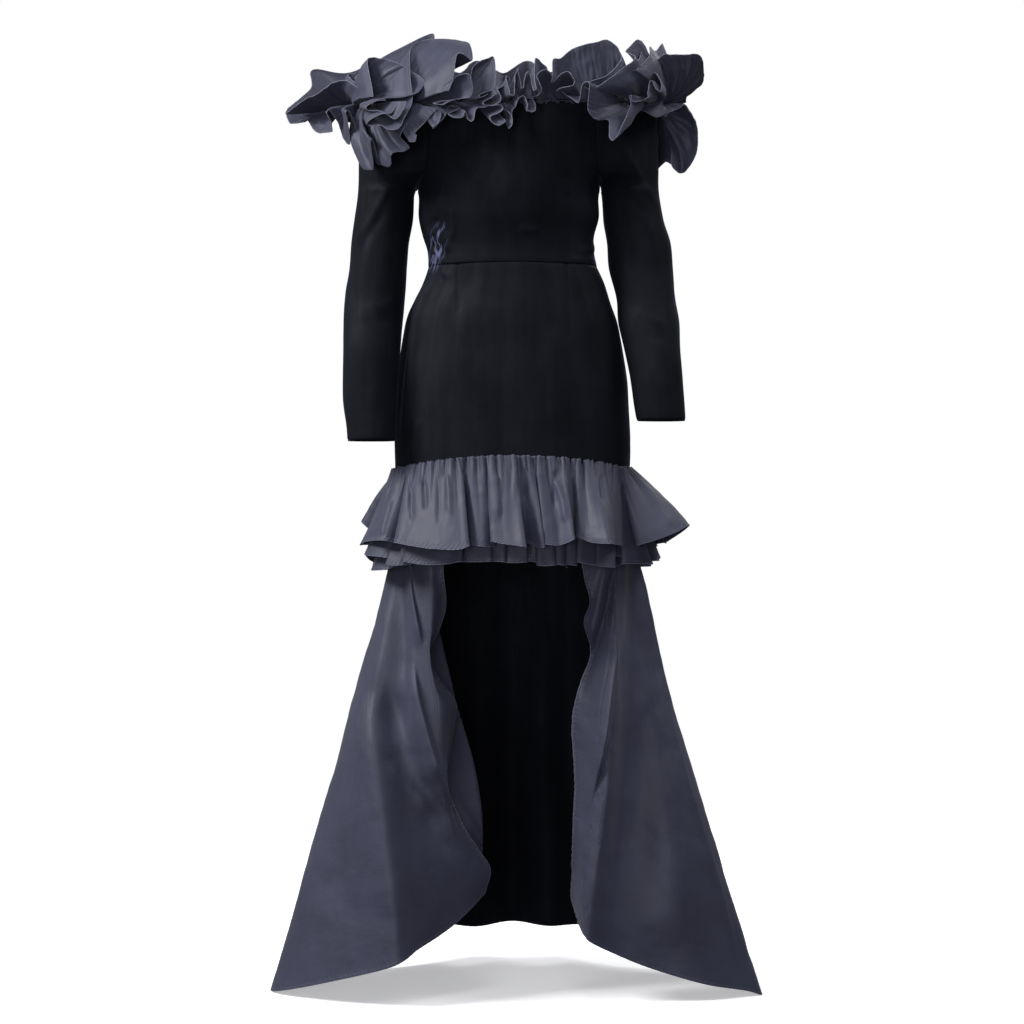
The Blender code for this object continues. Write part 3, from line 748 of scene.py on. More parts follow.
def sleevePoints(side, face, columns, rows):
    levels = np.concatenate((np.linspace(-1, 0, rows)[:-1], np.linspace(0, 1, rows // 2)))
    turn, level = np.meshgrid(np.linspace(0, sleeves["lastTurn"], columns), levels)
    upper = np.clip(level, 0, 1)
    edgeAngle = armholeAngle(side, face, upper)
    edgeAngle = edgeAngle - face * side * math.degrees(sleeves["edgeGap"] / sleeves["radius"])
    lowZ = body["underarmZ"] + level * (body["underarmZ"] - sleeves["cuffZ"][side])
    z = np.where(level < 0, lowZ, heightAt(mix(edgeAngle, side * 90, turn), upper))
    edge = bodyPoint(edgeAngle, heightAt(edgeAngle, upper))
    outer, inner, forward, deep = fromTable(sleeves["rings"][side], z)
    underarm = side * edge[..., 0] + sleeves["underarmEase"] * (1 - upper) ** sleeves["easePower"]
    inner = np.where(level < 0, inner, underarm)
    edgeY = np.where(level < 0, 0, np.abs(edge[..., 1]))
    middle = mix((outer + inner) / 2, side * fromTable(body["rings"], z)[0], upper)
    wide = outer - middle
    last = np.arccos(np.clip((inner - middle) / wide, -1, 1))
    here = last * (1 - turn)
    y = deep * np.sin(here) + (edgeY - deep * np.sin(last)) * (here / last) ** 2
    return np.stack((side * (middle + wide * np.cos(here)), face * y - forward, z), axis=-1)


def makeSleeves():
    for side, sideName in ((-1, "Left"), (1, "Right")):
        for face, faceName in ((-1, "Front"), (1, "Back")):
            spec = {"name": "sleeve" + sideName + faceName,
                    "node": "sleeve_" + sideName.lower() + "_" + faceName.lower(),
                    "cut": (0.20, 0.55), "area": 0.075, "held": "hung",
                    "restsOn": ["bodice_front" if face < 0 else "bodice_back_" + sideName.lower()],
                    "creases": sleeves["creases"][side], "seed": 31 + side + 3 * face,
                    "swell": 0.0010, "neckline": True}
            points = sleevePoints(side, face, sleeves["columns"], sleeves["rows"])
            turnedIn = sleeves["cuffIn"] * np.exp(-((arcLengths(points, 0) / sleeves["cuffWide"]) ** 2))
            sewVelvet(spec, points, -1 if side * face > 0 else 1, ("left", "right"), turnedIn)


makeSleeves()
print("sleeves made")

# Hip ruffle

hip = {
    "tierBulge": 0.85,
    "flipBulge": 14,
    "hemZ": -0.685,
    "hemShare": 0.035,
    "turnPower": 0.8,
    "seamEven": 0.25,  # how far the seam's places are drawn from under the hem's to even ones
    "hemRadius": 0.22,
    "seamRadius": 0.19,
    "deep": 0.14,
    "frontTo": 50,  # a tier's front share holds to here, and the back's from 25 degrees on
    "frontFade": 25,
    "lap": 0.05,
    "lapRise": 0.66,
    "lapEnd": 0.97,
    "sideOut": 0.054,
    "backLimits": (92, 266),
    "topFront": (  # the top tier's hem from the left side to the right one: angle, distance out, height
        (-90, 0.054, -0.684), (-83, 0.050, -0.680),
        (-75.6, 0.052, -0.677), (-59.2, 0.054, -0.675), (-56.2, 0.034, -0.679), (-55.1, 0.046, -0.678),
        (-48.1, 0.052, -0.681), (-39.7, 0.056, -0.685), (-30.9, 0.060, -0.688), (-23.3, 0.062, -0.689),
        (-19.5, 0.062, -0.687), (-17.4, 0.060, -0.683), (-21.4, 0.030, -0.683), (-23.3, 0.006, -0.681),
        (-17.8, 0.036, -0.681), (-12.3, 0.044, -0.684), (-7.4, 0.030, -0.683), (-8.8, 0.046, -0.676),
        (-4.4, 0.054, -0.679), (1.1, 0.062, -0.682), (4.8, 0.070, -0.684), (4.5, 0.030, -0.681),
        (6.4, 0.022, -0.678), (10, 0.036, -0.684), (12.8, 0.050, -0.685), (13.4, 0.020, -0.683),
        (13.1, 0.044, -0.680), (16.4, 0.048, -0.682), (20.2, 0.050, -0.681), (24.1, 0.066, -0.673),
        (25, 0.044, -0.667), (31.7, 0.026, -0.675), (27.4, 0.048, -0.669), (30, 0.060, -0.675),
        (32.1, 0.074, -0.678), (34, 0.088, -0.679), (36, 0.098, -0.679), (44.7, 0.050, -0.681),
        (67.9, 0.008, -0.685), (73.4, 0.020, -0.685), (57, 0.054, -0.683), (59.3, 0.068, -0.678),
        (64, 0.080, -0.672), (69.5, 0.092, -0.663), (77.6, 0.100, -0.652),
        (84, 0.080, -0.664), (90, 0.055, -0.680),
    ),
    "middleFront": (
        (-90, 0.054, -0.698), (-74, 0.056, -0.700), (-64, 0.052, -0.702), (-60, 0.038, -0.708),
        (-63, 0.052, -0.713), (-58, 0.052, -0.715), (-54, 0.050, -0.714), (-50, 0.036, -0.711),
        (-53, 0.050, -0.708), (-39.9, 0.048, -0.713), (-28.4, 0.047, -0.711), (-22.2, 0.050, -0.707),
        (-24.5, 0.032, -0.708), (-24, 0.024, -0.708), (-20.6, 0.042, -0.708), (-14.2, 0.046, -0.708),
        (-9.2, 0.046, -0.707), (-10.3, 0.032, -0.707), (-7.7, 0.043, -0.707), (-3.2, 0.046, -0.708),
        (-3.6, 0.028, -0.708), (-1.9, 0.042, -0.709), (2.3, 0.046, -0.709), (6, 0.048, -0.708),
        (5.2, 0.026, -0.707), (10.6, 0.024, -0.708), (10.8, 0.044, -0.713), (14.6, 0.046, -0.714),
        (18.2, 0.048, -0.713), (18, 0.032, -0.712), (19.6, 0.043, -0.712), (22.6, 0.045, -0.713),
        (23, 0.030, -0.712), (24.8, 0.042, -0.712), (27.9, 0.046, -0.714), (28.2, 0.030, -0.712),
        (29.8, 0.044, -0.709), (34.6, 0.048, -0.712), (37.3, 0.047, -0.712), (37.6, 0.032, -0.713),
        (38.9, 0.044, -0.714), (43, 0.048, -0.716), (48.6, 0.049, -0.717), (49.5, 0.032, -0.715),
        (58, 0.024, -0.714), (55.2, 0.042, -0.712), (62.9, 0.048, -0.712), (71.1, 0.054, -0.712),
        (76, 0.042, -0.709), (80, 0.052, -0.707), (90, 0.054, -0.702),
    ),
    "underFront": (
        (-90, 0.050, -0.724), (-76, 0.056, -0.723), (-66, 0.050, -0.720), (-62, 0.034, -0.712),
        (-52, 0.044, -0.700), (-40, 0.030, -0.698), (-28, 0.044, -0.700), (-14, 0.030, -0.698),
        (0, 0.044, -0.700), (12, 0.030, -0.698), (26, 0.044, -0.700), (40, 0.030, -0.698),
        (54, 0.044, -0.700), (66, 0.034, -0.702), (78, 0.046, -0.710), (90, 0.046, -0.714),
    ),
    "backWaves": (  # from the right side round to the left one: start, distance out, height
        (90, 0.060, -0.681), (101, 0.058, -0.686), (114, 0.062, -0.684), (130, 0.056, -0.688),
        (139, 0.050, -0.684), (147, 0.060, -0.685), (163, 0.058, -0.686), (180, 0.060, -0.686),
        (189, 0.052, -0.683), (196, 0.062, -0.684), (212, 0.058, -0.688), (222, 0.052, -0.685),
        (229, 0.060, -0.686), (241, 0.068, -0.648), (254, 0.056, -0.684), (270, 0.054, -0.686),
    ),
    "valleyOut": 0.026,
    "frontSeams": (  # hem angle, seam angle above it
        (-90, -90), (18, 19), (30, 37), (46, 62), (66, 66), (90, 90)),
    "creases": (  # on the top tier's front
        crease(-4, (1.6, 6), (-163, -580), (-160, -612), (-158, -650)),
        crease(-4.4, (1.6, 5), (-142, -572), (-138, -600), (-137, -630)),
        crease(-4, (1.4, 7), (-118, -566), (-116, -600), (-116, -655)),
        crease(3.4, (6, 1.6), (-100, -566), (-96, -600), (-94, -640)),
        crease(3, (6, 1.8), (-186, -600), (-196, -640), (-204, -672)),
        crease(5, (10, 2), (-26, -566), (-20, -600), (-22, -650)),
        crease(-4, (1.6, 5), (18, -560), (20, -585), (18, -612)),
        crease(5, (6, 2), (62, -570), (80, -610), (84, -650)),
        crease(-4, (1.8, 5), (70, -560), (64, -590), (66, -630)),
        crease(-3, (1.4, 5), (140, -566), (138, -590), (140, -620)),
        crease(3, (6, 1.4), (152, -568), (152, -610), (156, -660)),
        crease(4, (4, 10), (200, -580), (226, -620), (252, -658)),
    ),
    "gathers": (  # size, share of the tier's lift, reach, seed
        (0.0085, 1.0, 0.026, 41), (0.021, 1.1, 0.060, 47)),
    "crumples": {"size": 0.034, "lift": 0.0022, "seed": 53, "flat": 0.7, "start": 3},
    "faces": (("front", -89.92, 89.92), ("back", 90.08, 269.92)),
    "tiers": (
        {"name": "Top", "frontShare": 1.00, "share": 1.00, "drop": 0.000, "turn": 0, "inset": 0.0021,
         "top": 0.006, "columns": (420, 270), "rows": 42, "gather": 0.0036,
         "cut": {"front": (0.92, 0.135), "back": (1.06, 0.140)}},
        {"name": "Middle", "frontShare": 0.70, "share": 0.90, "drop": 0.028, "turn": 4, "inset": 0.0000,
         "top": -0.0008, "columns": (300, 240), "rows": 26, "gather": 0.0006,
         "cut": {"front": (0.80, 0.150), "back": (0.97, 0.155)}},
        {"name": "Under", "frontShare": 0.50, "share": 0.74, "drop": 0.037, "turn": 7, "inset": -0.0020,
         "top": -0.0008, "columns": (160, 130), "rows": 22, "gather": 0.0,
         "cut": {"front": (0.60, 0.160), "back": (0.88, 0.165)}},
    ),
}


def backHem(tier):  # lapped waves round the back, each one over the start of the next
    waves = [(start + tier["turn"], out, z - tier["drop"]) for start, out, z in hip["backWaves"]]
    front = hip[tier["name"].lower() + "Front"]
    lowest, highest = hip["backLimits"]
    rows = [(90, hip["sideOut"], front[-1][2])]
    for (start, out, z), (end, _, _) in zip(waves, waves[1:]):
        lap = hip["lap"] * (end - start)
        if start - lap > lowest:
            rows.append((start - lap, hip["valleyOut"], z))
            rows.append((start + lap / 2, mix(hip["valleyOut"], out, hip["lapRise"]), z))
        if (start + end) / 2 < highest:
            rows.append(((start + end) / 2, out, z))
        if end + lap < highest:
            rows.append((end + lap, out * hip["lapEnd"], z))
    rows.append((270, hip["sideOut"], front[0][2]))
    return rows


def hipPoints(tier, rows, first, last):
    rows = np.array(rows, float)
    flat = np.stack((np.radians(rows[:, 0]) * hip["hemRadius"], rows[:, 1]), axis=-1)
    steps = np.linalg.norm(np.diff(flat, axis=0), axis=-1)
    keys = np.concatenate(((0.0,), np.cumsum(steps))) / steps.sum()
    places = np.linspace(0, 1, tier["columns"][first > 0])
    hemAngle, out, hemZ = np.moveaxis(through(keys, rows, places), -1, 0)
    drop = np.meshgrid(places, downRows(tier["rows"], hip["hemShare"]))[1]
    reached = np.maximum.accumulate(rows[:, 0])
    ahead = np.minimum.accumulate(rows[::-1, 0])[::-1]
    hung = np.interp(places, keys, (reached + ahead) / 2)
    if first < 0:
        hung = np.interp(hung, *np.array(hip["frontSeams"], float).T)
    even = mix(first, last, places)
    seamAngle = np.clip(mix(hung, even, hip["seamEven"]), first, last)[None] + drop * 0
    fronts = 1 - ease((np.abs(hemAngle) - hip["frontTo"]) / hip["frontFade"])
    share = mix(tier["share"], tier["frontShare"], fronts)
    lift = np.maximum(hemZ - hip["hemZ"] + tier["drop"], 0)
    bulge = mix(hip["tierBulge"] + lift * hip["flipBulge"] * (tier["drop"] == 0), 1, drop)
    topZ = hipZ(seamAngle) + tier["top"]
    angle = mix(seamAngle, hemAngle, drop ** hip["turnPower"])
    points = bodyPoint(angle, topZ, tier["inset"] + out * share * drop * bulge)
    points[..., 2] = mix(topZ, hemZ, drop)
    return points, seamAngle, drop


def makeHipRuffle():
    crumples = hip["crumples"]
    for tier in hip["tiers"]:
        for face, first, last in hip["faces"]:
            front = face == "front"
            spec = {"name": "hip" + tier["name"] + face.capitalize(),
                    "node": "hip_" + tier["name"].lower() + "_" + face,
                    "hems": ("end",), "cut": tier["cut"][face], "held": "gathered",
                    "restsOn": ["skirt_front" if front else "skirt_back_left"]}
            rows = hip[tier["name"].lower() + "Front"] if front else backHem(tier)
            points, angle, drop = hipPoints(tier, rows, first, last)
            seed = len(tier["name"]) + (0 if front else 9)
            around, fromSeam = np.radians(angle) * hip["seamRadius"], drop * hip["deep"]
            lift = sum(gathers(around, fromSeam, size, tier["gather"] * share, reach, own + seed)
                       for size, share, reach, own in hip["gathers"])
            ridges = crumple(around, fromSeam * crumples["flat"], crumples["size"], crumples["seed"] + seed)
            lift += ridges * crumples["lift"] * ease(drop * crumples["start"])
            points = lifted(points, -lift)
            if front and tier["name"] == "Top":
                points = creased(points, hip["creases"], -1)
            sew(spec, points, "taffeta", flip=True)


makeHipRuffle()
print("hip ruffle made")

# Train: two taffeta wings and a velvet back panel

train = {
    "inset": 0.0046,
    "topLap": 0.004,
    "thighZ": -0.630,
    "kneeZ": -0.727,
    "midZ": -0.970,
    "thighShare": 0.26,
    "levels": (0.0, 0.1, 0.2, 0.5, 1.0),  # seam, thigh, knee, mid height and hem
    "rows": 140,
    "hemShare": 0.006,
    "freeFrom": -0.60,
    "freeFade": 0.08,
    "swayReach": 0.9,
    "seamFlat": 0.03,
    "folds": (  # number, angle at the hip seam, knee share, place at mid height, place at the hem
        (0, -31, 0.25, -0.074, -0.045, -0.040, -0.030, -1.235),
        (1, -46, 0.25, -0.100, -0.092, -0.064, -0.046, -1.258),
        (2, -63, 0.25, -0.128, -0.100, -0.098, -0.064, -1.286),
        (3, -72, 0.25, -0.172, -0.092, -0.142, -0.094, -1.312),
        (4, -81, 0.25, -0.226, -0.076, -0.196, -0.134, -1.338),
        (5, -92, 0.25, -0.269, 0.010, -0.387, 0.010, -1.398),
        (6, -112, 0.25, -0.228, 0.105, -0.318, 0.165, -1.372),
        (7, -130, 0.25, -0.150, 0.165, -0.190, 0.262, -1.350),
        (8, -148, 0.25, -0.098, 0.205, -0.125, 0.330, -1.342),
        (9, -164, 0.25, -0.050, 0.190, -0.062, 0.295, -1.339),
        (10, -180, 0.25, 0.000, 0.215, 0.000, 0.345, -1.338),
        (11, -196, 0.25, 0.050, 0.190, 0.062, 0.295, -1.339),
        (12, -212, 0.25, 0.098, 0.205, 0.125, 0.330, -1.342),
        (13, -230, 0.25, 0.150, 0.165, 0.190, 0.262, -1.350),
        (14, -248, 0.28, 0.228, 0.105, 0.330, 0.165, -1.374),
        (15, -268, 0.36, 0.268, 0.008, 0.403, 0.008, -1.400),
        (16, -275, 0.36, 0.247, -0.030, 0.366, -0.036, -1.388),
        (17, -281, 0.33, 0.228, -0.050, 0.300, -0.072, -1.372),
        (18, -286, 0.28, 0.200, -0.066, 0.222, -0.080, -1.348),
        (19, -292, 0.25, 0.178, -0.088, 0.160, -0.088, -1.322),
        (20, -299, 0.25, 0.152, -0.108, 0.112, -0.108, -1.294),
        (21, -324, 0.25, 0.094, -0.045, 0.100, -0.035, -1.282),
    ),
    "leftEdge": (  # height, then how far right and forward the wing's front edge runs
        (-1.235, -0.040, -0.030), (-1.197, -0.032, -0.032), (-1.165, -0.051, -0.034),
        (-1.118, -0.079, -0.036), (-1.056, -0.102, -0.040), (-0.995, -0.094, -0.048),
        (-0.932, -0.086, -0.060), (-0.896, -0.112, -0.052), (-0.856, -0.131, -0.048),
        (-0.817, -0.114, -0.056), (-0.779, -0.103, -0.064), (-0.730, -0.106, -0.070),
        (-0.640, -0.110, -0.080),
    ),
    "rightEdge": (
        (-1.281, 0.100, -0.035), (-1.241, 0.089, -0.036), (-1.195, 0.092, -0.038), (-1.113, 0.097, -0.042),
        (-1.053, 0.097, -0.045), (-0.961, 0.093, -0.052), (-0.904, 0.104, -0.056), (-0.853, 0.122, -0.060),
        (-0.803, 0.112, -0.068), (-0.772, 0.122, -0.070), (-0.736, 0.114, -0.074), (-0.640, 0.100, -0.084),
    ),
}


def trainPoints(numbers, drops):
    top, kneeShare, midX, midY, hemX, hemY, hemZ = fromTable(train["folds"], numbers)
    seam = bodyPoint(top, hipZ(top), -train["inset"])
    mid = np.stack((midX, midY, train["midZ"] * np.ones_like(top)), axis=-1)
    knee = mix(seam, mid, kneeShare[:, None])
    thigh = mix(seam, mid, kneeShare[:, None] * train["thighShare"])
    thigh[:, 2] = train["thighZ"]
    knee[:, 2] = train["kneeZ"]
    seam[:, 2] += train["topLap"]
    hem = np.stack((hemX, hemY, hemZ), axis=-1)
    return through(train["levels"], (seam, thigh, knee, mid, hem), drops)


def swayed(points, numbers, edge, places):  # the front edge of a wing runs in and out through these places
    front = points[:, 0 if edge == 0 else -1]
    heights = np.clip(front[:, 2], places[0][0], places[-1][0])
    shiftX, shiftY = fromTable(places, heights) - front[:, :2].T
    free = ease((train["freeFrom"] - front[:, 2]) / train["freeFade"])
    near = np.exp(-((numbers - edge) / train["swayReach"]) ** 2)
    points[..., 0] += np.outer(shiftX * free, near)
    points[..., 1] += np.outer(shiftY * free, near)
    return points


leftWing = {
    "name": "trainWingLeft", "node": "train_wing_left", "hems": ("end", "left"), "cut": (0.64, 0.88),
    "area": 0.40, "held": "hung", "restsOn": ["skirt_front", "train_back"],
    "folds": (0.004, 6.996, 90), "closeFolds": (1.41, 2.79, 80), "edgeFold": 0, "seed": 61,
    "turned": (  # height, then how far right the ply behind the front edge shows
        (-1.260, -0.034), (-1.185, -0.046), (-1.108, -0.048), (-1.040, -0.058), (-0.995, -0.069),
        (-0.932, -0.088), (-0.870, -0.104), (-0.830, -0.113), (-0.780, -0.122), (-0.700, -0.150),
        (-0.500, -0.160),
    ),
    "turnedDeep": 0.034,
    "turnedSteps": 15,
    "turnedFirst": (-0.005, 0.010, 0),
    "turnedMiddle": (0, 0.004, 0),
    "creases": (
        crease(9, (12, 4), (-166, -700), (-160, -752), (-150, -800), (-140, -845), open=True),
        crease(-15, (34, 10), (-172, -700), (-170, -800), (-170, -900), (-162, -1000), open=True),
        crease(12, (26, 4), (-157, -860), (-146.8, -917), (-132.8, -970), (-117.2, -1024), (-108, -1060)),
        crease(12, (60, 30), (-234.3, -880), (-228, -974), (-215.6, -1060), (-193.7, -1158), (-173.4, -1219),
               (-159.3, -1330)),
        crease(-17, (40, 20), (-218.7, -860), (-179.6, -960), (-145.3, -1041), (-117.2, -1088),
               (-70.3, -1166)),
        crease(3, 8, (-200, -1030), (-160, -1060), (-120, -1110)),
        crease(-3, 12, (-150, -1100), (-110, -1150), (-70, -1170)),
        crease(6, (16, 5), (-118, -1030), (-84, -1095), (-46, -1150)),
        crease(1.2, 6, (-106.5, -1050), (-78.3, -1104.5), (-42.3, -1160), pucker=20),
        crease(1.2, 6, (-113, -720), (-106, -750), (-102, -785), pucker=11),
        crease(-6, 32, (-290, -1000), (-280, -1140), (-300, -1260)),
        crease(-3, 20, (-300, -1190), (-250, -1250), (-170, -1270)),
    ),
}
rightWing = {
    "name": "trainWingRight", "node": "train_wing_right", "hems": ("end", "right"), "cut": (0.62, 0.88),
    "area": 0.37, "held": "hung", "restsOn": ["skirt_front", "train_back"],
    "folds": (13.004, 20.996, 100), "closeFolds": (19.31, 20.89, 80), "edgeFold": 21, "seed": 71,
    "creases": (
        crease(16, (20, 5), (180, -700), (175.4, -798), (166, -843), (155, -912), (145.6, -981),
               (130, -1050), (112, -1125), open=True),
        crease(-13, (8, 7), (164, -700), (145.6, -799), (122.1, -877), (103.4, -930), open=True),
        crease(6, (7, 8), (154, -700), (133, -783), (120.6, -840), open=True),
        crease(-2, (2, 4), (169, -700), (160, -800), (146, -900), (132, -980), open=True),
        crease(-25, (18, 60), (198, -700), (194, -846), (184, -987), (174, -1128), (164, -1290), open=True),
        crease(9, (20, 4), (236, -880), (270, -1020), (330, -1220), (368, -1385), sharp=True),
        crease(3, (12, 24), (176, -985), (209, -934), (250, -890)),
        crease(12, 50, (228, -1000), (246, -1160), (262, -1330)),
        crease(1.2, 5, (120, -724), (116, -760), (118, -800), pucker=9),
        crease(1, 6, (104, -1080), (100, -1140), (92, -1210), pucker=16),
    ),
}
backPanel = {
    "name": "trainBack", "node": "train_back", "cut": (0.52, 0.80), "area": 0.31, "held": "hung",
    "restsOn": ["skirt_back_left", "skirt_back_right"], "folds": (7.004, 12.996, 100), "rows": 84,
    "swell": {"lift": 0.0030, "flat": 0.4, "size": 0.09, "seed": 81},
}
wingLook = {
    "crumples": ((1, 0.8, 0.085, 0, 0.0024), (0.7, 1, 0.034, 2, 0.0009)),  # over, down, size, seed, lift
    "swell": 0.0030,
    "swellSize": 0.12,
    "pucker": 0.0010,  # beside the front hem
    "puckerLong": 0.011,
    "puckerSize": 0.03,
    "puckerWide": 0.012,
}


def turnedBack(points, wing):  # the front edge's cloth turns back behind it and shows again further in
    edge = points[:, 0]
    reach = fromTable(wing["turned"], edge[:, 2])[0]
    inner = np.stack((reach, edge[:, 1] + wing["turnedDeep"], edge[:, 2]), axis=-1)
    behind = edge + wing["turnedFirst"]
    middle = mix(behind, inner, 0.5) + wing["turnedMiddle"]
    steps = np.linspace(1, 0, wing["turnedSteps"] + 1)[:-1]
    ply = through((0, 0.2, 0.6, 1), (edge, behind, middle, inner), steps)
    return np.concatenate((np.moveaxis(ply, 0, 1), points), axis=1)


def wingLift(over, down, fromEdge, seed):  # crumples, slow swells, and small puckers beside the front hem
    look = wingLook
    lift = sum(crumple(over * across, down * along, size, seed + step) * share
               for across, along, size, step, share in look["crumples"])
    lift += look["swell"] * patches(over, down, look["swellSize"], seed + 4)
    ripple = np.sin(down * 2 * math.pi / look["puckerLong"])
    ripple = ripple * patches(over, down, look["puckerSize"], seed + 6)
    return lift + look["pucker"] * ripple * np.exp(-fromEdge / look["puckerWide"])


def makeWing(wing, places):
    numbers = np.sort(np.concatenate((np.linspace(*wing["folds"]), np.linspace(*wing["closeFolds"]))))
    points = trainPoints(numbers, downRows(train["rows"], train["hemShare"]))
    points = swayed(points, numbers, wing["edgeFold"], places)
    if "turned" in wing:
        points = turnedBack(points, wing)
    reaches = sideReaches(points)
    fromEdge, fromSeam = reaches["left"], reaches["right"]
    if wing["edgeFold"]:
        fromEdge, fromSeam = fromSeam, fromEdge
    lift = wingLift(reaches["left"], reaches["start"], fromEdge, wing["seed"])
    points = lifted(points, -lift * ease(fromSeam / train["seamFlat"]))
    sew(wing, creased(points, wing["creases"], "front"), "taffeta", flip=True)


def makeTrain():
    makeWing(leftWing, train["leftEdge"])
    makeWing(rightWing, train["rightEdge"])
    points = trainPoints(np.linspace(*backPanel["folds"]), np.linspace(0, 1, backPanel["rows"]))
    over, down = arcLengths(points, 1), arcLengths(points, 0)
    swell = backPanel["swell"]
    lift = swell["lift"] * patches(over, down * swell["flat"], swell["size"], swell["seed"])
    points = lifted(points, seamDips(points, ("left", "right")) - lift)
    sew(backPanel, tucked(points, 1, "train", ("left", "right")), "velvet", flip=True)


makeTrain()
print("train made")

# Neck ruffle: one wide strip gathered along its middle, with a rising and a falling half

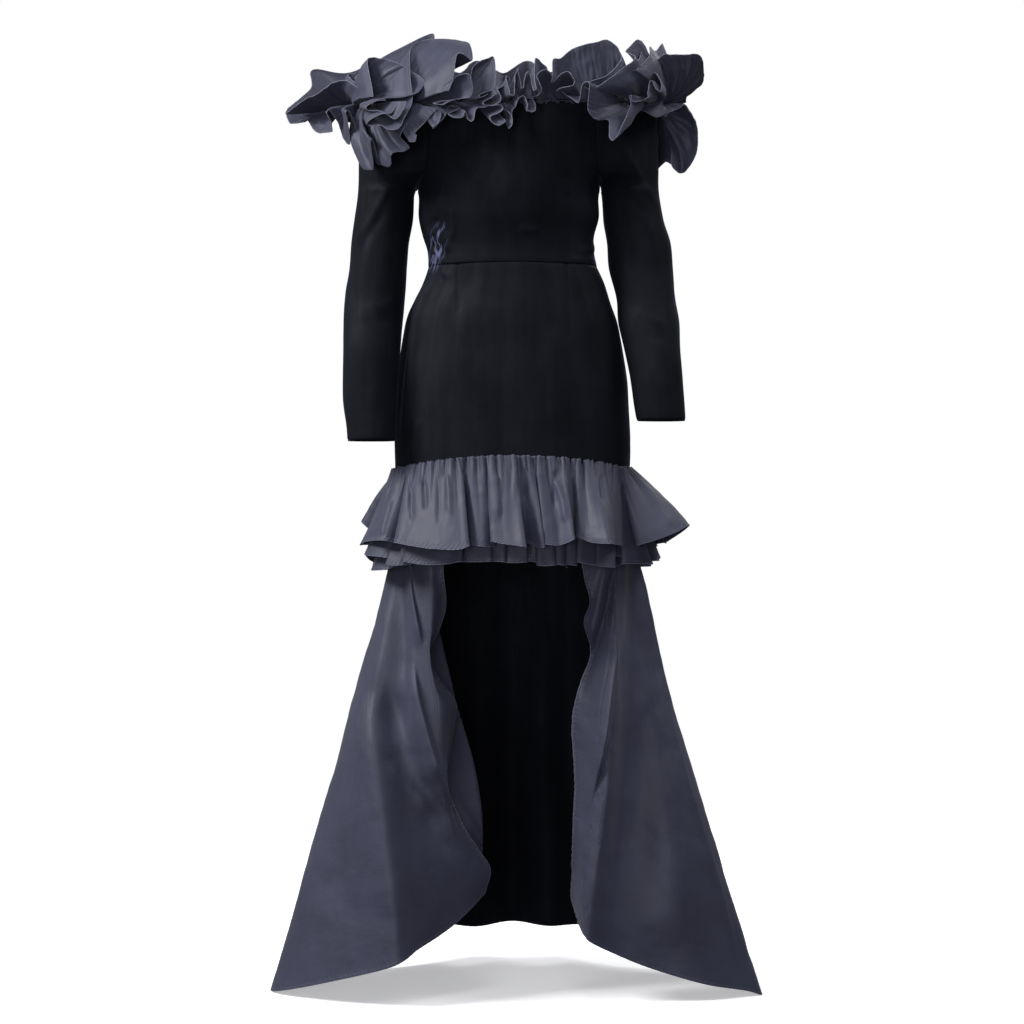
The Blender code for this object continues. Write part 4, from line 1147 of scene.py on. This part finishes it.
neck = {
    "gatherDrop": 0.004,
    "clearance": 0.0024,
    "belly": 0.014,
    "frontBelly": -0.006,
    "frontTo": 30,
    "frontFade": 20,
    "hem": (1.0, 0.985, 0.96, 0.93),  # rows beside a free edge, as shares of the way out to it
    "rows": (0.90, 0.03, 26),
    "radius": 0.2,
    "deep": 0.09,
    "gathers": (  # size, lift, reach, seed
        (0.0080, 0.0022, 0.022, 91), (0.015, 0.0030, 0.070, 95), (0.0055, 0.0009, 0.080, 103)),
    "crumples": {"size": 0.030, "lift": 0.0030, "seed": 99, "over": 3, "down": 1.2, "start": 3},
    "rising": (  # place along the gathers, then the free edge there: photo column, photo row, depth
        (-134, 433, 33, 0.130), (-130, 395, 50, 0.128), (-126, 350, 72, 0.120), (-122, 313, 69, 0.090),
        (-119, 312, 86, 0.070), (-116, 300, 98, 0.045), (-113, 290, 106, 0.020), (-110, 286, 113, 0.005),
        (-107, 300, 101, -0.010), (-104, 314, 94, -0.022), (-101, 330, 84, -0.035),
        (-98.5, 345, 79, -0.045), (-96.5, 357, 86, -0.060), (-95, 370, 98, -0.085),
        (-93.5, 360, 88, -0.045), (-92, 347, 75, -0.020), (-90, 354, 73, -0.010), (-88, 367, 70, -0.015),
        (-86.5, 370, 84, -0.050), (-85, 372, 98, -0.105), (-83.5, 371, 86, -0.100), (-82, 367, 60, -0.085),
        (-79, 381, 58, -0.080), (-76, 400, 64, -0.090), (-73, 411, 71, -0.095), (-71, 425, 82, -0.110),
        (-69.5, 418, 94, -0.130), (-68, 400, 99, -0.140), (-67, 384, 100, -0.150), (-66, 367, 108, -0.155),
        (-65, 379, 110, -0.160), (-64, 391, 112, -0.165), (-63, 399, 101, -0.160), (-62, 407, 102, -0.165),
        (-61, 404, 111, -0.170), (-60, 395, 120, -0.170), (-59, 384, 116, -0.165), (-58, 368, 124, -0.160),
        (-57.2, 379, 125, -0.162), (-56.4, 389, 129, -0.168), (-55.6, 398, 127, -0.172),
        (-54.8, 404, 116, -0.165), (-54, 412, 100, -0.140), (-53, 410, 75, -0.110), (-52, 410, 50, -0.075),
        (-50.5, 420, 42, -0.060), (-49, 434, 40, -0.055), (-47.5, 449, 40, -0.058), (-46, 461, 42, -0.065),
        (-45, 470, 45, -0.075), (-44, 473, 62, -0.090), (-43, 466, 56, -0.110), (-42, 458, 56, -0.130),
        (-41, 454, 78, -0.150), (-40, 448, 92, -0.160), (-39, 452, 80, -0.165), (-38, 457, 74, -0.170),
        (-37, 469, 73, -0.172), (-36, 473, 84, -0.170), (-35, 472, 97, -0.165), (-34, 462, 101, -0.160),
        (-33, 450, 103, -0.165), (-32, 442, 106, -0.170), (-31, 433, 103, -0.168), (-30, 442, 100, -0.160),
        (-29, 455, 98, -0.150), (-27.5, 467, 84, -0.135), (-26, 472, 66, -0.122), (-24, 486, 58, -0.115),
        (-22, 495, 59, -0.115), (-20.5, 496, 84, -0.125), (-19, 488, 96, -0.150), (-18, 478, 99, -0.160),
        (-17, 480, 93, -0.155), (-16, 492, 89, -0.150), (-15, 496, 95, -0.160), (-14, 484, 103, -0.168),
        (-13, 490, 104, -0.168), (-12, 500, 100, -0.165), (-11, 498, 92, -0.150), (-9.5, 496, 88, -0.140),
        (-8, 505, 84, -0.135), (-6.5, 509, 79, -0.130), (-5, 507, 77, -0.140), (-3.5, 512, 94, -0.155),
        (-2, 513, 82, -0.140), (0, 516, 69, -0.125), (2, 519, 71, -0.120), (3.5, 522, 88, -0.140),
        (5.5, 522, 80, -0.140), (7.5, 525, 73, -0.130), (9.5, 528, 71, -0.122), (11.5, 531, 74, -0.125),
        (13.5, 535, 90, -0.145), (15, 533, 78, -0.135), (16.5, 534, 60, -0.118), (18.5, 538, 59, -0.112),
        (20.5, 543, 63, -0.112), (22.5, 548, 67, -0.118), (24, 551, 76, -0.130), (25.5, 552, 60, -0.120),
        (27.5, 560, 58, -0.115), (30, 570, 50, -0.115), (33, 582, 45, -0.118), (37, 596, 42, -0.116),
        (41, 606, 40, -0.108), (44, 614, 45, -0.104), (47, 621, 51, -0.108), (49.5, 622, 58, -0.125),
        (51.5, 614, 69, -0.145), (53.5, 604, 77, -0.158), (55, 590, 82, -0.165), (56, 584, 85, -0.168),
        (57, 592, 88, -0.165), (58.5, 606, 80, -0.160), (60.5, 622, 68, -0.145), (62.5, 634, 58, -0.130),
        (64, 625, 53, -0.110), (66, 630, 46, -0.098), (68, 637, 40, -0.090), (70, 643, 47, -0.085),
        (71.5, 640, 58, -0.110), (73, 634, 70, -0.135), (74.5, 640, 66, -0.120), (76, 648, 56, -0.085),
        (77.5, 649, 47, -0.060), (79, 654, 52, -0.030), (81, 661, 44, 0.000), (83, 656, 52, 0.020),
        (85, 655, 60, 0.020), (87, 648, 72, -0.030), (89, 655, 62, -0.050), (91, 663, 54, -0.060),
        (94, 671, 54, -0.058), (98, 686, 54, -0.045), (102, 698, 54, -0.028), (105, 703, 62, -0.012),
        (108, 704, 76, 0.004), (111, 697, 86, 0.025), (114, 688, 92, 0.050), (117, 684, 100, 0.066),
    ),
    "falling": (
        (-119, 301, 112, 0.095), (-115, 290, 108, 0.075), (-112, 286, 114, 0.058), (-110, 288, 121, 0.040),
        (-108, 292, 125, 0.030), (-106, 301, 124, 0.018), (-104, 311, 119, 0.005),
        (-102.5, 302, 114, 0.000), (-101, 308, 121, 0.010), (-99, 311, 127, 0.012), (-97, 317, 133, 0.000),
        (-95, 325, 134, -0.020), (-93, 334, 132, -0.030), (-91, 332, 122, -0.040),
        (-89.5, 328, 112, -0.045), (-88, 336, 122, -0.035), (-86, 343, 136, -0.030),
        (-84, 351, 144, -0.045), (-82.5, 350, 130, -0.065), (-81, 347, 112, -0.085),
        (-79.5, 354, 125, -0.070), (-78, 355, 148, -0.055), (-76, 360, 159, -0.065),
        (-74, 364, 168, -0.080), (-72, 370, 170, -0.093), (-70.5, 375, 168, -0.100),
        (-69, 373, 150, -0.115), (-68, 372, 140, -0.125), (-67, 376, 155, -0.110), (-65, 377, 163, -0.095),
        (-63, 384, 165, -0.105), (-61, 391, 166, -0.125), (-59.5, 392, 158, -0.135),
        (-58, 395, 153, -0.138), (-56.5, 406, 151, -0.140), (-55, 411, 146, -0.145),
        (-54, 403, 138, -0.150), (-53, 401, 136, -0.155), (-52, 405, 128, -0.150), (-51, 411, 123, -0.145),
        (-50, 415, 126, -0.150), (-49, 412, 135, -0.158), (-48, 410, 142, -0.162), (-47, 416, 142, -0.165),
        (-46, 417, 137, -0.165), (-45, 415, 134, -0.160), (-44, 424, 125, -0.155), (-43, 431, 117, -0.150),
        (-42, 439, 110, -0.145), (-41, 441, 112, -0.155), (-40, 439, 121, -0.165), (-39, 432, 129, -0.168),
        (-38, 440, 124, -0.160), (-37, 447, 116, -0.150), (-36, 450, 107, -0.140), (-35, 458, 108, -0.155),
        (-34, 449, 111, -0.165), (-33, 447, 115, -0.170), (-32, 455, 119, -0.172), (-31, 463, 117, -0.172),
        (-30, 466, 112, -0.168), (-29, 464, 110, -0.160), (-28, 465, 114, -0.168), (-27, 467, 120, -0.172),
        (-26, 471, 123, -0.174), (-25, 475, 120, -0.172), (-24, 477, 111, -0.168),
        (-22.5, 483, 109, -0.166), (-21, 490, 108, -0.166), (-19.5, 499, 106, -0.168),
        (-18.5, 502, 109, -0.170), (-17.5, 496, 113, -0.170), (-16.5, 490, 115, -0.170),
        (-15.5, 489, 119, -0.172), (-14.5, 493, 124, -0.174), (-13.5, 499, 127, -0.174),
        (-12.5, 505, 124, -0.172), (-11.5, 506, 120, -0.168), (-10.5, 502, 116, -0.160),
        (-9.5, 500, 111, -0.155), (-8.5, 507, 112, -0.165), (-7.5, 511, 117, -0.170),
        (-6.5, 511, 124, -0.172), (-5.5, 508, 129, -0.172), (-4.5, 511, 128, -0.170),
        (-3.2, 514, 120, -0.165), (-2, 514, 112, -0.160), (-0.5, 518, 104, -0.155), (1, 521, 99, -0.150),
        (2.5, 525, 98, -0.150), (4, 526, 104, -0.158), (5.5, 525, 112, -0.165), (7, 530, 113, -0.165),
        (8.5, 536, 112, -0.160), (10, 537, 104, -0.145), (11.5, 534, 98, -0.130), (13, 537, 97, -0.140),
        (14.5, 541, 94, -0.155), (16, 543, 90, -0.162), (17.5, 540, 82, -0.165), (19, 538, 76, -0.166),
        (20.5, 543, 71, -0.166), (22, 548, 72, -0.164), (23.5, 551, 77, -0.160), (25, 550, 83, -0.155),
        (26.5, 556, 81, -0.158), (28, 562, 75, -0.164), (29.5, 567, 73, -0.166), (31, 571, 76, -0.168),
        (32.5, 573, 82, -0.168), (34, 569, 85, -0.166), (35.5, 560, 87, -0.160), (37, 556, 90, -0.150),
        (38.5, 561, 93, -0.148), (40, 568, 97, -0.152), (42, 578, 104, -0.158), (43.5, 581, 96, -0.166),
        (44.5, 583, 85, -0.172), (45.5, 588, 84, -0.172), (46.5, 588, 92, -0.168), (47.5, 587, 104, -0.160),
        (49, 588, 112, -0.155), (51, 596, 120, -0.150), (53, 608, 121, -0.145), (54.5, 609, 130, -0.158),
        (55.5, 609, 138, -0.168), (56.5, 613, 142, -0.172), (57.5, 617, 138, -0.170),
        (59, 622, 128, -0.164), (61, 629, 112, -0.155), (62.5, 632, 104, -0.150), (63.5, 630, 95, -0.150),
        (65, 632, 102, -0.148), (66.5, 640, 102, -0.146), (68, 648, 98, -0.142), (69.5, 649, 91, -0.138),
        (71, 651, 81, -0.130), (72, 654, 88, -0.130), (73, 659, 93, -0.130), (74, 662, 88, -0.126),
        (75, 660, 79, -0.118), (76, 656, 71, -0.105), (78, 648, 80, -0.090), (80, 640, 95, -0.085),
        (82, 633, 108, -0.100), (84, 644, 112, -0.090), (86, 655, 118, -0.080), (88, 664, 116, -0.065),
        (90, 671, 113, -0.050), (92, 680, 109, -0.035), (94, 684, 106, -0.020), (96, 690, 115, -0.010),
        (98, 695, 125, 0.000), (100, 697, 138, 0.010), (102, 695, 153, 0.015), (103.5, 689, 166, 0.020),
        (105, 682, 173, 0.028), (106.5, 677, 170, 0.015), (108, 671, 164, 0.000),
        (109.5, 664, 161, 0.008), (111, 656, 168, 0.022), (113, 650, 174, 0.045), (115, 646, 177, 0.075),
    ),
    "backStations": (126, 134, 142, 150, 158, 166, 174, 182, 190, 198, 206, 214),
    "backRising": (0.055, 0.090, 0.018, 0.062),  # crest out and up, valley out and up
    "backFalling": (0.060, -0.050, 0.022, -0.042),
    "lengths": (
        {"name": "neckRuffleFront", "node": "neck_ruffle_front", "first": -44.99, "last": 44.99,
         "columns": 360, "cut": (0.50, 0.16)},
        {"name": "neckRuffleRight", "node": "neck_ruffle_right", "first": 45.01, "last": 119.99,
         "columns": 330, "cut": (0.46, 0.20)},
        {"name": "neckRuffleBack", "node": "neck_ruffle_back", "first": 120.01, "last": 239.99,
         "columns": 220, "cut": (0.60, 0.17)},
        {"name": "neckRuffleLeft", "node": "neck_ruffle_left", "first": -119.99, "last": -45.01,
         "columns": 360, "cut": (0.56, 0.20)},
    ),
}


def seenAt(column, row, depth):  # the point at this depth that shows at a place of the photo
    metres = photo["pixel"] * (1 + depth / photo["distance"])
    return (column - photo["middle"]) * metres, depth, photo["eyeZ"] + (photo["middle"] - row) * metres


def gatherLine(station):
    points = bodyPoint(station, neckZ(station), neck["clearance"])
    points[..., 2] -= neck["gatherDrop"]
    return points


def outward(station):
    turn = np.radians(station)
    return np.stack((np.sin(turn), -np.cos(turn), np.zeros_like(turn)), axis=-1)


def edgeTable(edge, back):  # a free edge all the way round, with the back's waves added by rule
    rows = [(station, *seenAt(column, row, depth)) for station, column, row, depth in edge]
    for number, station in enumerate(neck["backStations"]):
        out, up = back[:2] if number % 2 == 0 else back[2:]
        place = np.array([float(station)])
        point = gatherLine(place)[0] + outward(place)[0] * out + np.array((0, 0, up))
        rows.append((station, *point))
    before = [(row[0] - 360, *row[1:]) for row in rows]
    after = [(row[0] + 360, *row[1:]) for row in rows]
    return sorted(before + rows + after)


def neckPoints(spec, rising, falling):
    stations = np.linspace(spec["first"], spec["last"], spec["columns"])
    half = np.concatenate((neck["hem"], np.linspace(*neck["rows"])))
    reach = np.concatenate((-half, (0.0,), half[::-1]))[:, None, None]
    share = np.abs(reach)
    up, down = (np.moveaxis(fromTable(edge, stations), 0, -1)[None] for edge in (rising, falling))
    tip = np.where(reach > 0, up, down)
    sides = ease((np.abs(stations) - neck["frontTo"]) / neck["frontFade"])
    full = mix(neck["frontBelly"], neck["belly"], sides)[:, None]
    belly = outward(stations)[None] * full * 4 * share * (1 - share)
    return mix(gatherLine(stations)[None], tip, share) + belly, stations, share[..., 0]


def makeNeckRuffle():
    rising = edgeTable(neck["rising"], neck["backRising"])
    falling = edgeTable(neck["falling"], neck["backFalling"])
    crumples = neck["crumples"]
    for spec in neck["lengths"]:
        points, stations, share = neckPoints(spec, rising, falling)
        around = np.radians(stations)[None, :] * neck["radius"] + share * 0
        fromSeam = share * neck["deep"]
        lift = sum(gathers(around, fromSeam, *row) for row in neck["gathers"])
        over, down = around * crumples["over"], fromSeam * crumples["down"]
        ridges = crumple(over, down, crumples["size"], crumples["seed"])
        lift += ridges * crumples["lift"] * ease(share * crumples["start"])
        spec = dict(spec, hems=("end", "start"), held="gathered", restsOn=["bodice_front"])
        sew(spec, tucked(lifted(points, lift), 1, "ruffle", ("left", "right")), "taffeta")


makeNeckRuffle()
print("neck ruffle made")

# Stage

stage = {
    "floorZ": cadBox[0][2],
    "floorDrop": 0.0005,
    "floorSize": 40.0,
    "floorNear": 0.7,  # the paper is plain to here, and fades to white by the next radius
    "floorFar": 2.4,
    "grain": ((1, 1, 1), 3.0, 2.0, 0.5),
    "paper": ((0.88, 0.88, 0.89, 1), (0.92, 0.92, 0.92, 1)),
    "paperGlow": (0.42, 0.42, 0.43, 1),
    "cameraAt": (0.0, -4.2, -0.630),
    "lens": 92.3,
    "sensor": 36.0,
    "aimZ": -0.6,
    "roofTone": (0.20, 0.205, 0.225, 1),  # the room's light from above and from below
    "lowTone": (0.12, 0.12, 0.135, 1),
    "white": (1, 1, 1, 1),
    "black": (0, 0, 0, 1),
    "lights": (
        {"name": "leftLight", "at": (-3.3, -1.2, 2.0), "size": 1.4, "power": 218},
        {"name": "rightLight", "at": (2.9, -0.6, 2.7), "size": 1.6, "power": 72},
        {"name": "lowLight", "at": (-0.8, -4.1, -0.9), "size": 2.0, "power": 62},
        {"name": "neckLight", "at": (-0.1, -1.5, 1.3), "size": 0.7, "power": 13},
        {"name": "backLight", "at": (1.2, 2.4, 1.8), "size": 2.0, "power": 45},
    ),
}


def makeFloor():
    grid = bmesh.new()
    bmesh.ops.create_grid(grid, x_segments=2, y_segments=2, size=stage["floorSize"])
    bmesh.ops.translate(grid, verts=grid.verts, vec=(0, 0, stage["floorZ"] - stage["floorDrop"]))
    mesh = bpy.data.meshes.new("floor")
    grid.to_mesh(mesh)
    grid.free()
    paper = Finish("floorPaper")
    place = paper.node("ShaderNodeTexCoord", {}, {}, 3)
    near, far = (stage[key] - stage["floorZ"] for key in ("floorNear", "floorFar"))
    beyond = paper.ranged(paper.lengthOf(place), near, far)
    plain = paper.blended(paper.noise(place, *stage["grain"]), *stage["paper"])
    paper.put({
        "Base Color": paper.blended(beyond, plain, stage["black"]),
        "Emission Color": paper.blended(beyond, stage["paperGlow"], stage["white"]),
        "Emission Strength": 1.0, "Specular IOR Level": 0.0, "Roughness": 0.9})
    mesh.materials.append(paper.material)
    floor = bpy.data.objects.new("floor", mesh)
    bpy.context.collection.objects.link(floor)
    floor.visible_diffuse = False  # its brightness stays off the cloth
    floor.visible_glossy = False


def makeStudio():  # a white room behind, with softer and dimmer light from all round
    world = bpy.data.worlds.new("studio")
    world.use_nodes = True
    room = Nodes(world.node_tree)
    place = room.node("ShaderNodeTexCoord", {}, {})
    height = room.node("ShaderNodeSeparateXYZ", {}, {"Vector": place}, 2)
    tone = room.blended(room.ramped(height, -1, 1, 0, 1), stage["lowTone"], stage["roofTone"])
    seen = room.blended(room.node("ShaderNodeLightPath", {}, {}), tone, stage["white"])
    room.plug(room.tree.nodes["Background"], "Color", seen)
    bpy.context.scene.world = world
    bpy.context.scene.view_settings.view_transform = "Standard"


def makeStage():
    makeFloor()
    makeStudio()
    for light in stage["lights"]:
        data = bpy.data.lights.new(light["name"], "AREA")
        data.energy = light["power"]
        data.size = light["size"]
        lamp = bpy.data.objects.new(light["name"], data)
        lamp.location = light["at"]
        aim = lamp.location * -1
        aim.z += stage["aimZ"]
        lamp.rotation_euler = aim.to_track_quat("-Z", "Y").to_euler()
        bpy.context.collection.objects.link(lamp)

    view = bpy.data.cameras.new("camera")
    view.lens = stage["lens"]
    view.sensor_width = stage["sensor"]
    camera = bpy.data.objects.new("camera", view)
    camera.location = stage["cameraAt"]
    camera.rotation_euler = (math.pi / 2, 0, 0)
    bpy.context.collection.objects.link(camera)
    bpy.context.scene.camera = camera


makeStage()
print("stage made")
